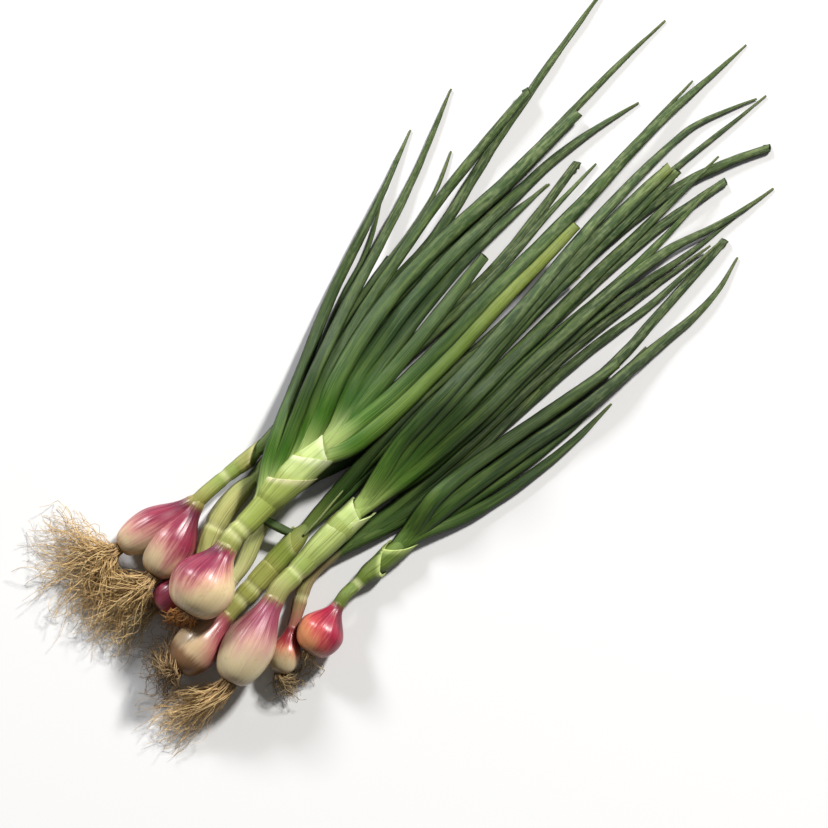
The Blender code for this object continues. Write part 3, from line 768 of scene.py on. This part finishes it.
FRESHENING = 14
DULL_FROM = 72
PALE_CREASE = "#e6e3ae"
NECK_STEP = 1.6
CREASE_WIDTH = 1.3
CREASE_DEPTH = 0.11
CREASE_PALENESS = 0.45
SHEATH_STEPS = 8
STRAIGHT_END = 8
MOUTH_REACH = 2.2
MOUTH_DEPTH = 0.6
HOLLOW_DEPTH = 3.0
WALL_SHARE = 0.86
TABLE_GAP = 0.1
MINUS = ("ShaderNodeMath", {"operation": "SUBTRACT"})
OVER = ("ShaderNodeMath", {"operation": "DIVIDE"})
SCALED, SUM, APART, CROSS, DOT = (
    ("ShaderNodeVectorMath", {"operation": word})
    for word in ("SCALE", "ADD", "SUBTRACT", "CROSS_PRODUCT", "DOT_PRODUCT")
)
JOINED = "ShaderNodeCombineXYZ"
NUMBER = ("GeometryNodeInputNamedAttribute", {"data_type": "FLOAT"})
VECTOR = ("GeometryNodeInputNamedAttribute", {"data_type": "FLOAT_VECTOR"})
KEEP = ("GeometryNodeStoreNamedAttribute", {"data_type": "FLOAT", "domain": "POINT"})
KEEP_VECTOR = ("GeometryNodeStoreNamedAttribute", {"data_type": "FLOAT_VECTOR", "domain": "POINT"})
KEEP_ON_FACE = ("GeometryNodeStoreNamedAttribute", {"data_type": "FLOAT", "domain": "FACE"})
MOVED = "GeometryNodeSetPosition"
CIRCLE = ("GeometryNodeCurvePrimitiveCircle", {"mode": "RADIUS"})
ALONG_CURVE = "GeometryNodeSplineParameter"
TUBE = "GeometryNodeCurveToMesh"
REALIZED = "GeometryNodeRealizeInstances"
EXTRUDED = ("GeometryNodeExtrudeMesh", {"mode": "FACES"})
GREATER = {"operation": "GREATER_THAN"}
UP = (0.0, 0.0, 1.0)
MIDDLE = (0.5, 0.5, 0.5)


def new_tree(name, inputs):
    """A tree with named inputs of each kind, what adds nodes to it, and what it is given."""
    tree = bpy.data.node_groups.new(name, "GeometryNodeTree")
    for kind, keys in inputs.items():
        for key in keys:
            tree.interface.new_socket(key, in_out="INPUT", socket_type="NodeSocket" + kind)
    tree.interface.new_socket("Grown", in_out="OUTPUT", socket_type="NodeSocketGeometry")
    add = partial(node, tree)
    return tree, add, add("NodeGroupInput").node.outputs


def end_tree(add, geometry, finish):
    """Ends a tree with a smooth, plain mesh of one material."""
    smooth = add("GeometryNodeSetShadeSmooth", geometry, Shade_Smooth=True)
    add("NodeGroupOutput", add("GeometryNodeSetMaterial", add(REALIZED, smooth), Material=finish))


def tube_tree():
    """Grows a tube along each line of a mesh, with ribs, a flattened section and hollow ends."""
    tree, add, given = new_tree("leaf_tubes", {
        "Geometry": ("Routes",), "Float": ("Spacing", "Wander", "Lumps", "Swelling", "Wall Share"),
        "Int": ("Sides",), "Material": ("Finish",),
    })

    # A smooth line with even stations, straying a little once it is well out of the bulb
    lines = add("GeometryNodeMeshToCurve", given["Routes"])
    lines = add(("GeometryNodeCurveSplineType", {"spline_type": "CATMULL_ROM"}), lines)
    lines = add("GeometryNodeSetSplineResolution", lines, Resolution=10)
    lines = add(("GeometryNodeResampleCurve", {"mode": "LENGTH"}), lines, Length=given["Spacing"])
    run = add(ALONG_CURVE).node.outputs
    lines = add(KEEP, lines, True, "along", run["Factor"])
    lines = add(KEEP, lines, True, "length", run["Length"])
    position = add("GeometryNodeInputPosition")
    apart = add(SCALED, (3.7, 1.9, 7.1), add(NUMBER, "number"))
    drift = add(NOISE, add(SUM, add(SCALED, position, 38.0), apart), 1.0, 1.0)
    free = add(EASED, add(NUMBER, "length"), 0.02, 0.09)
    sway = add(APART, drift.node.outputs["Color"], MIDDLE)
    lines = add(MOVED, lines, Offset=add(SCALED, sway, add(TIMES, given["Wander"], free)))
    lines = add(("GeometryNodeSetCurveNormal", {"mode": "Z_UP"}), lines)
    lines = add(KEEP_VECTOR, lines, True, "centre", position)
    lines = add(KEEP_VECTOR, lines, True, "ahead", add("GeometryNodeInputTangent"))

    # The section is a circle with low ribs
    ring = add(CIRCLE, given["Sides"], 1.0)
    place = add(SPLIT, position).node.outputs
    turn = add(ANGLE, place["Y"], place["X"])
    out = 1.0
    for count, height in ((5.0, 0.022), (9.0, 0.014)):
        out = add(TIMES_PLUS, add(COSINE, add(TIMES_PLUS, turn, count, count)), height, out)
    ring = add(MOVED, ring, Position=add(SCALED, position, out))
    width = add(NUMBER, "half_width")
    swelling = add(TIMES_PLUS, add(MINUS, drift, 0.5), given["Swelling"], 1.0)
    tubes = add(TUBE, lines, ring, Scale=add(TIMES, width, swelling), Fill_Caps=True)

    # Where each point sits round the tube: how far to the left and how far up
    ahead = add(VECTOR, "ahead")
    off = add(APART, position, add(VECTOR, "centre"))
    left = add(DOT, off, add(CROSS, UP, ahead))
    lift = add(SPLIT, off).node.outputs["Z"]
    around = add(JOINED, add(OVER, left, width), add(OVER, lift, width))
    tubes = add(KEEP_VECTOR, tubes, True, "ring", around)

    # Flattened a little, with its mouth slanted, and with shallow lumps
    pressed = add(TIMES, lift, add(MINUS, add(NUMBER, "flatness"), 1.0))
    slide = add(SCALED, ahead, add(DOT, add(VECTOR, "ring"), add(VECTOR, "mouth")))
    tubes = add(MOVED, tubes, Offset=add(SUM, add(JOINED, Z=pressed), slide))
    lump = add(NOISE, add(SUM, add(SCALED, position, 110.0), apart), 1.0, 2.0)
    lump = add(TIMES, add(MINUS, lump, 0.5), given["Lumps"])
    tubes = add(MOVED, tubes, Offset=add(SCALED, add("GeometryNodeInputNormal"), lump))

    # A cut end or a mouth is set in within its wall, and goes down as a hollow
    corners = add("GeometryNodeInputMeshFaceNeighbors").node.outputs["Vertex Count"]
    chosen = add(("FunctionNodeCompare", {"data_type": "INT", **GREATER}), corners, 4)
    for name, least in (("along", 0.5), ("hollow", 0.0)):
        high = add(("FunctionNodeCompare", GREATER), add(NUMBER, name), least)
        chosen = add(("FunctionNodeBooleanMath", {"operation": "AND"}), chosen, high)
    rim = add(EXTRUDED, tubes, chosen, Offset_Scale=0.0, Individual=True).node.outputs
    narrowed = add(
        ("GeometryNodeScaleElements", {"domain": "FACE"}), rim["Mesh"], rim["Top"], given["Wall Share"],
    )
    depth = add(TIMES, add(NUMBER, "hollow"), -1.0)
    shaft = add(EXTRUDED, narrowed, rim["Top"], Offset_Scale=depth, Individual=True).node.outputs
    inside = add(("FunctionNodeBooleanMath", {"operation": "OR"}), shaft["Top"], shaft["Side"])
    tubes = add(KEEP_ON_FACE, shaft["Mesh"], True, "inside", inside)

    # A tube that lies on the table is flat below
    level = add(SPLIT, position).node.outputs["Z"]
    rested = add(MINUS, add(LARGER, level, TABLE_GAP * MM), level)
    end_tree(add, add(MOVED, tubes, Offset=add(JOINED, Z=rested)), given["Finish"])
    return tree


def grown(name, start, tree, values):
    """The plain mesh that a tree grows from a start mesh, with its named inputs set first."""
    seed = in_scene(name, start)
    growth = seed.modifiers.new("growth", "NODES")
    growth.node_group = tree
    for item in tree.interface.items_tree:
        if item.in_out == "INPUT" and item.name in values:
            growth[item.identifier] = values[item.name]
    mesh = plain_mesh(seed)
    mesh.name = name
    return mesh


def tint_at(stops, at):
    """The colour at a place between stops of place and hex code."""
    places = [place for place, _ in stops]
    channels = zip(*(linear(code) for _, code in stops))
    return [float(np.interp(at, places, channel)) for channel in channels]


class Routes:
    """Lines for the tube tree, with what it needs to know at each of their points."""

    def __init__(self):
        self.points, self.edges, self.values = [], [], []

    def add(self, tube, flatness, tints, hollow=0.0, mouth=(0.0, 0.0)):
        """Adds a line with a colour for each point, the depth of its hollow end and its slant."""
        first, number, run = len(self.points), len(self.edges), run_of(tube)
        reach = MOUTH_REACH * max(1.0, *map(abs, mouth))
        for k, (x, y, z, half_width) in enumerate(tube[:, :4]):
            self.points.append((np.array((x, y, z)) - ORIGIN) * MM)
            near = max(0.0, 1 - (run[-1] - run[k]) / reach) * MM
            slant = (mouth[0] * near, mouth[1] * near, 0.0)
            self.values.append((half_width * MM, flatness, number, hollow * MM, slant, tints[k]))
        self.edges += [(first + k, first + k + 1) for k in range(len(tube) - 1)]

    def mesh(self, name):
        """The lines as a mesh, with their values as attributes."""
        made = bpy.data.meshes.new(name)
        made.from_pydata(self.points, self.edges, [])
        kinds = ("FLOAT",) * 4 + ("FLOAT_VECTOR", "FLOAT_COLOR")
        names = ("half_width", "flatness", "number", "hollow", "mouth", "tint")
        for key, kind, values in zip(names, kinds, zip(*self.values)):
            keep(made, key, kind, values)
        return made


# Fresh leaf: green skin with fine veins along it under a thin grey wax, which is rubbed off in
# patches and thicker towards the tips. Painted shade darkens the sides and underside of each tube
# and the inside of its hollow ends.
def fresh_leaf(name):
    finish, add = new_finish(name + "_fresh_leaf")
    tint, ring, length, number, inside, flatness = (
        add(("ShaderNodeAttribute", {"attribute_name": key})).node.outputs[output] for key, output in (
            ("tint", "Color"), ("ring", "Vector"), ("length", "Fac"),
            ("number", "Fac"), ("inside", "Fac"), ("flatness", "Fac"),
        )
    )
    left, up, _ = add(SPLIT, ring).node.outputs
    veins, broad, bloom = (
        add(NOISE, add(
            JOINED, add(TIMES_PLUS, left, across, number), add(TIMES, up, across),
            add(TIMES, length, ahead),
        ), scale, 3.0)
        for across, ahead, scale in ((7.0, 14.0, 1.5), (0.9, 24.0, 1.5), (1.5, 70.0, 1.8))
    )
    fine = add(NOISE, add(COORDINATES).node.outputs["Object"], 450.0, 4.0)

    # Each leaf is a little bluer or browner of its own, with light and dark veins
    waxy = add(EASED, length, 0.05, 0.22, 0.0, 0.66)
    light = add(EASED, veins, 0.50, 0.72, 0.0, 0.24)
    dark = add(EASED, veins, 0.52, 0.30, 0.0, 0.55)
    own = add(("ShaderNodeTexWhiteNoise", {"noise_dimensions": "1D"}), number)
    tint = add(MIX, add(TIMES, own, waxy), tint, add(MIX, own, "#46502c", "#2c4a30"))
    colour = add(MIX, light, tint, add(MIX, 0.5, tint, "#a9bb52"))
    colour = add(MIX, dark, colour, add(SHADED, 1.0, colour, "#6f8660"))
    lively = add(EASED, broad, 0.48, 0.68, 0.0, 0.50)
    colour = add(MIX, lively, colour, add(MIX, 0.5, tint, "#70883a"))

    # Wax in patches, then painted shade on the sides and underside of each tube and in its hollow ends
    wax = add(TIMES, add(EASED, add(TIMES_PLUS, fine, 0.4, bloom), 0.60, 0.94), waxy)
    colour = add(MIX, wax, colour, "#838f62")
    narrow = add(EASED, flatness, NECK_FLATNESS, LEAF_FLATNESS)
    # Painted shade: the sides and underside of each tube are darkened, more on leaves than on necks
    painted_side_shade = add(TIMES, add(EASED, up, 0.70, 0.10), add(TIMES_PLUS, narrow, 0.55, 0.4))
    colour = add(MIX, painted_side_shade, colour, add(SHADED, 1.0, colour, "#2a3522"))
    # Painted shade inside the hollow ends of cut leaves and sheath mouths
    colour = add(MIX, inside, colour, "#2a3518")
    pitted = add(BUMP, 0.16, 0.0003, Height=fine, Normal=add(BUMP, 0.6, 0.0005, Height=veins))
    add(OUTPUT, add(
        SURFACE, Base_Color=colour, Roughness=add(TIMES_PLUS, wax, 0.4, 0.46), IOR=1.42,
        Specular_IOR_Level=0.32, Normal=pitted, Subsurface_Weight=0.04,
        Subsurface_Radius=(0.002, 0.003, 0.001), Subsurface_Scale=0.5,
    ))
    return finish


def creased_neck(neck, shade, collar):
    """The neck's route with a pinch at each crease, and its colours."""
    fine = smooth_route(neck[:, :4], round(run_of(neck)[-1] / NECK_STEP) + 1)
    run = run_of(fine)
    end = run[-1]
    stops = [(0, collar), (3, collar), (15, shade.neck), (end * 0.75, shade.neck), (end, shade.fan)]
    tints = []
    for k, at in enumerate(run):
        pinches = [exp(-((at - crease) / CREASE_WIDTH) ** 2) for crease in shade.creases]
        pinch = max(pinches, default=0)
        fine[k, 3] *= 1 - CREASE_DEPTH * pinch
        plain = zip(tint_at(stops, at), linear(PALE_CREASE))
        tints.append([own + (pale - own) * CREASE_PALENESS * pinch for own, pale in plain])
    return fine, tints


def sheath_route(neck, sheath, skin):
    """The route and colours of a sheath, which comes out of the neck and may run past its end."""
    whole = run_of(neck)[-1]
    straight = (along(neck, 0) - along(neck, STRAIGHT_END))[:3] / STRAIGHT_END
    stops = [(0, skin), (0.4, sheath.colour), (0.72, sheath.colour), (1, sheath.rim)]
    route, tints = [], []
    for step, at in enumerate(np.linspace(sheath.start, sheath.end, SHEATH_STEPS + 1)):
        place = along(neck, max(at, 0))
        share = (sheath.start - at) / (sheath.start - sheath.end)
        body = max(place[3], np.interp(whole - max(at, STRAIGHT_END), run_of(neck), neck[:, 3]))
        place[:3] += straight * max(-at, 0)
        hug = np.interp(share, (0, 0.25), (0.95, 1.05))
        place[3] = body * hug * (1 - share) + sheath.half_width * share
        route.append(place[:4])
        tints.append(tint_at(stops, step / SHEATH_STEPS))
    return np.array(route), tints


def leaf_tints(tube, leaf, shade, green):
    """Colours along a leaf: pale in the sheath, fresh green, then duller; a whole tip is dry."""
    run = run_of(tube)
    end = run[-1]
    stops = [(0, shade.fan), (shade.pale, shade.fan), (shade.pale + FRESHENING, shade.fresh)]
    stops += [(DULL_FROM, green), (end * 0.93, green), (end * 0.99, green if leaf.cut else DRY_TIP)]
    if leaf.faded:
        sound = end - leaf.faded_run
        stops = [stop for stop in stops if stop[0] < sound]
        stops += [(sound, green), (end - 0.35 * leaf.faded_run, leaf.faded)]
    return [tint_at(stops, at) for at in run]


# A broken leaf under the thickest neck, and a pale strip torn off a sheath beside it
STRAYS = {
    "brown": (
        ("#33491f", (
            (-99, -7, 9, 1.9), (-97, -13, 8.2, 2.1), (-94.5, -19, 7.2, 1.8), (-92.5, -23, 6.6, 1),
        )),
        ("#8c9860", (
            (-90, -24.4, 9.6, 0.5), (-82, -23.8, 11, 0.5), (-72, -22.4, 12, 0.4), (-64, -21.4, 12, 0.3),
        )),
    ),
}
STRAY_STATIONS = 14

tubes = tube_tree()
pile = np.empty((0, 6))
for index, plant in enumerate(PLANTS):
    shade = SHADES[plant.name]
    draw = random.Random(plant.name + " torn ends")
    necks, leaves = Routes(), Routes()
    neck = neck_tube(plant)
    pile = settle(neck, index, pile, LAST_LIFTS)
    route, tints = creased_neck(neck, shade, SKINS[plant.name].collar)
    necks.add(route, NECK_FLATNESS, tints)
    for sheath in shade.sheaths:
        route, tints = sheath_route(neck, sheath, shade.neck)
        necks.add(route, NECK_FLATNESS, tints, hollow=MOUTH_DEPTH, mouth=(sheath.side, sheath.top))
    for number, leaf in enumerate(plant.leaves):
        tube = leaf_tube(leaf, number, neck)
        pile = settle(tube, index, pile, SETTLE_ROUNDS)
        tints = leaf_tints(tube, leaf, shade, shade.greens[number])
        slant = (draw.uniform(-0.9, 0.9), draw.uniform(-0.8, 0.2)) if leaf.cut else (0.0, 0.0)
        leaves.add(tube, LEAF_FLATNESS, tints, hollow=HOLLOW_DEPTH * leaf.cut, mouth=slant)
    for colour, points in STRAYS.get(plant.name, ()):
        route = smooth_route(points, STRAY_STATIONS)
        leaves.add(route, LEAF_FLATNESS, [linear(colour)] * len(route))
    finish = fresh_leaf(plant.name)
    for part, routes, spacing, sides, lumps, swelling, wander in (
        ("neck", necks, 0.8, 56, 0.4, 0.03, 0.0), ("leaves", leaves, 2.2, 26, 0.5, 0.16, 0.8),
    ):
        mesh = grown(f"{plant.name}_{part}", routes.mesh(f"{plant.name}_{part}_routes"), tubes, {
            "Spacing": spacing * MM, "Wander": wander * MM, "Lumps": lumps * MM, "Swelling": swelling,
            "Wall Share": WALL_SHARE, "Sides": sides, "Finish": finish,
        })
        placed(f"{plant.name}_{part}", mesh, finish, [plant.name + "_shoot"])


# Roots: dry, straw-coloured threads that grow from the corky plate under each bulb and lie
# tangled where the bunch was put down.
@dataclass
class Tuft:
    """A tuft of threads: how many, how long, which way they lie, how they spread and tangle."""

    count: int
    length: float
    heading: float
    spread: float
    tint: str
    tangle: float
    rise: float
    paler: float = 0.5


TUFTS = {
    "twin": Tuft(260, 42, 168, 37.2, "#b28e5a", 24, 1.2),
    "twin_second": Tuft(260, 42, 162, 55.8, "#b28e5a", 24, 1.2),
    "lower": Tuft(44, 30, 172, 21.6, "#8a7858", 20, 0.5),
    "slim": Tuft(16, 12, 185, 22.4, "#a08c6c", 10, 0.4),
    "brown": Tuft(210, 18, 126, 83.6, "#5f4022", 17, 2.1, 0.25),
    "small": Tuft(80, 13, 276, 64, "#6c5434", 9, 1, 0.3),
    "red": Tuft(24, 10.5, 234, 30.8, "#8c6c40", 8, 0.5),
    "front": Tuft(190, 42, 172, 15.6, "#cca874", 15, 0.6),
    "big": Tuft(110, 13, 177, 27.2, "#c47a2a", 12, 0.4, 0.3),
}
# What is drawn for each thread, from low to high
DRAWN = (
    ("reach", 0.35, 1.05), ("turned", -1.0, 1.0), ("angle", 0.0, 6.283),
    ("edge", 0.0, 1.0), ("phase", 0.0, 6.283), ("swing", 0.5, 3.0),
    ("lifted", 0.0, 1.0), ("slim", 0.6, 1.15), ("waves", 4.0, 10.0),
)
ROOT_STATIONS = 42
ROOT_SIDES = 5
ROOT_THICKNESS = 0.21
ROOT_LEVEL = 0.4
ROOT_CURL = 1.4
PLATE_DEPTH = 0.4
PLATE_SPREAD = 1.1
SINE = ("ShaderNodeMath", {"operation": "SINE"})
ROOT_OF = ("ShaderNodeMath", {"operation": "SQRT"})


def root_tree():
    """Grows a tuft of threads from a plate: each heads out of it, then sinks to the table."""
    tree, add, given = new_tree("root_tuft", {
        "Geometry": ("Start",), "Vector": ("Plate Centre", "Outward"),
        "Float": ("Plate Radius", "Length", "Heading", "Spread", "Thickness", "Curl", "Tangle", "Rise"),
        "Int": ("Count", "Seed"), "Material": ("Finish",),
    })
    points = add("GeometryNodePoints", given["Count"])
    for offset, (name, low, high) in enumerate(DRAWN):
        seed = add(PLUS, given["Seed"], float(offset))
        drawn = add(("FunctionNodeRandomValue", {"data_type": "FLOAT"}), low, high, Seed=seed)
        points = add(KEEP, points, True, name, drawn)
    own = {name: add(NUMBER, name) for name, _, _ in DRAWN}
    thread = add("GeometryNodeCurvePrimitiveLine", (0.0, 0.0, 0.0), (1.0, 0.0, 0.0))
    thread = add(("GeometryNodeResampleCurve", {"mode": "COUNT"}), thread, Count=ROOT_STATIONS)
    tuft = add(REALIZED, add("GeometryNodeInstanceOnPoints", points, Instance=thread))
    t = add(ALONG_CURVE)
    back = add(MINUS, 1.0, t)

    # Its place on the plate, from which it flares
    side = add(CROSS, UP, given["Outward"])
    up = add(CROSS, given["Outward"], side)
    off = add(TIMES, add(ROOT_OF, own["edge"]), given["Plate Radius"])
    side = add(SCALED, side, add(TIMES, off, add(COSINE, own["angle"])))
    flare = add(SUM, side, add(SCALED, up, add(TIMES, off, add(SINE, own["angle"]))))
    start = add(SUM, flare, given["Plate Centre"])

    # Seen from above it turns from the bulb's axis to its own bearing, in waves
    bearing = add(TIMES_PLUS, own["turned"], given["Spread"], given["Heading"])
    final = add(JOINED, add(COSINE, bearing), add(SINE, bearing))
    first = add(POWER, back, 3.0)
    level = add(("ShaderNodeVectorMath", {"operation": "MULTIPLY"}), given["Outward"], (1.0, 1.0, 0.0))
    way = add(SUM, add(SCALED, level, first), add(SCALED, final, add(MINUS, 1.0, first)))
    far = add(TIMES, add(TIMES, given["Length"], own["reach"]), t)
    wave = add(TIMES, add(SINE, add(TIMES_PLUS, t, own["waves"], own["phase"])), own["swing"])
    wave = add(TIMES, wave, add(TIMES, t, MM))
    place = start
    for toward, amount in ((way, far), (flare, add(TIMES, t, 0.9)), (add(CROSS, UP, final), wave)):
        place = add(SUM, place, add(SCALED, toward, amount))

    # Its height sinks from the plate's to near the table's, over a hump
    floor = add(TIMES_PLUS, own["lifted"], 5 * MM, 0.5 * MM)
    height = add(MINUS, add(SPLIT, start).node.outputs["Z"], floor)
    height = add(TIMES_PLUS, height, add(POWER, back, 1.6), floor)
    hump = add(TIMES, add(SINE, add(TIMES, t, pi)), back)
    height = add(TIMES_PLUS, add(TIMES, hump, given["Rise"]), own["lifted"], height)
    flat = add(SPLIT, place).node.outputs
    place = add(JOINED, flat["X"], flat["Y"], height)

    # Neighbours sway together, and each also wanders in its own way
    own_at = add(TIMES_PLUS, own["phase"], 17.0, add(TIMES, t, 3.2))
    own_at = add(JOINED, own_at, add(TIMES, own["slim"], 31.0))
    for noise_at, amount, power in (
        (add(SCALED, place, 95.0), given["Curl"], 0.7), (own_at, given["Tangle"], 1.1),
    ):
        sway = add(APART, add(NOISE, noise_at, 1.0, 0.7, 0.4).node.outputs["Color"], MIDDLE)
        place = add(SUM, place, add(SCALED, sway, add(TIMES, amount, add(POWER, t, power))))
    flat = add(SPLIT, place).node.outputs
    place = add(JOINED, flat["X"], flat["Y"], add(LARGER, flat["Z"], ROOT_LEVEL * MM))
    tuft = add(KEEP, add(MOVED, tuft, Position=place), True, "along", t)

    thick = add(TIMES, add(TIMES, given["Thickness"], own["slim"]), add(TIMES_PLUS, t, -0.55, 1.0))
    tuft = add(TUBE, tuft, add(CIRCLE, ROOT_SIDES, 1.0), Scale=thick, Fill_Caps=True)
    end_tree(add, tuft, given["Finish"])
    return tree


# Dry root: straw fibre with a dull, slightly silky surface, darker at the plate and greyer at
# the thin ends.
def dry_root(name, tint, paler):
    finish, add = new_finish(name + "_dry_root")
    far, thread = (
        add(("ShaderNodeAttribute", {"attribute_name": key})).node.outputs["Fac"]
        for key in ("along", "slim")
    )
    blotch = add(NOISE, add(COORDINATES).node.outputs["Object"], 300.0, 3.0)
    colour = add(MIX, add(EASED, thread, 0.65, 1.0), tint, add(MIX, paler, tint, "#e2c890"))
    for value, low, high, share, stain in (
        (blotch, 0.5, 0.72, 0.6, "#5a3f22"), (far, 0.25, 0.0, 0.6, "#6a4824"),
        (far, 0.8, 1.0, 0.25, "#94846c"),
    ):
        colour = add(MIX, add(TIMES, add(EASED, value, low, high), share), colour, stain)
    rough = add(BUMP, 0.3, 0.0002, Height=blotch)
    add(OUTPUT, add(SURFACE, Base_Color=colour, Roughness=0.65, IOR=1.5, Normal=rough))
    return finish


tufts = root_tree()
for plant in PLANTS:
    for bulb, second in zip(plant.bulbs, ("", "_second")):
        name = plant.name + second
        tuft = TUFTS[name]
        outward = (Vector(bulb.root_end) - Vector(bulb.top)).normalized()
        centre = Vector((np.array(bulb.root_end) - ORIGIN) * MM) + outward * PLATE_DEPTH * MM
        finish = dry_root(name, tuft.tint, tuft.paler)
        seed = bpy.data.meshes.new(name + "_root_start")
        seed.from_pydata([(0, 0, 0)], [], [])
        mesh = grown(name + "_roots", seed, tufts, {
            "Plate Centre": centre, "Outward": outward,
            "Plate Radius": PLATE_SHARE * bulb.radius * PLATE_SPREAD * MM, "Length": tuft.length * MM,
            "Heading": radians(tuft.heading), "Spread": radians(tuft.spread),
            "Thickness": ROOT_THICKNESS * MM, "Curl": ROOT_CURL * MM, "Tangle": tuft.tangle * MM,
            "Rise": tuft.rise * bulb.root_end[2] * MM, "Count": tuft.count, "Seed": 11 + 10 * len(name),
            "Finish": finish,
        })
        placed(name + "_root_tuft", mesh, finish, [plant.name + "_roots" + second])
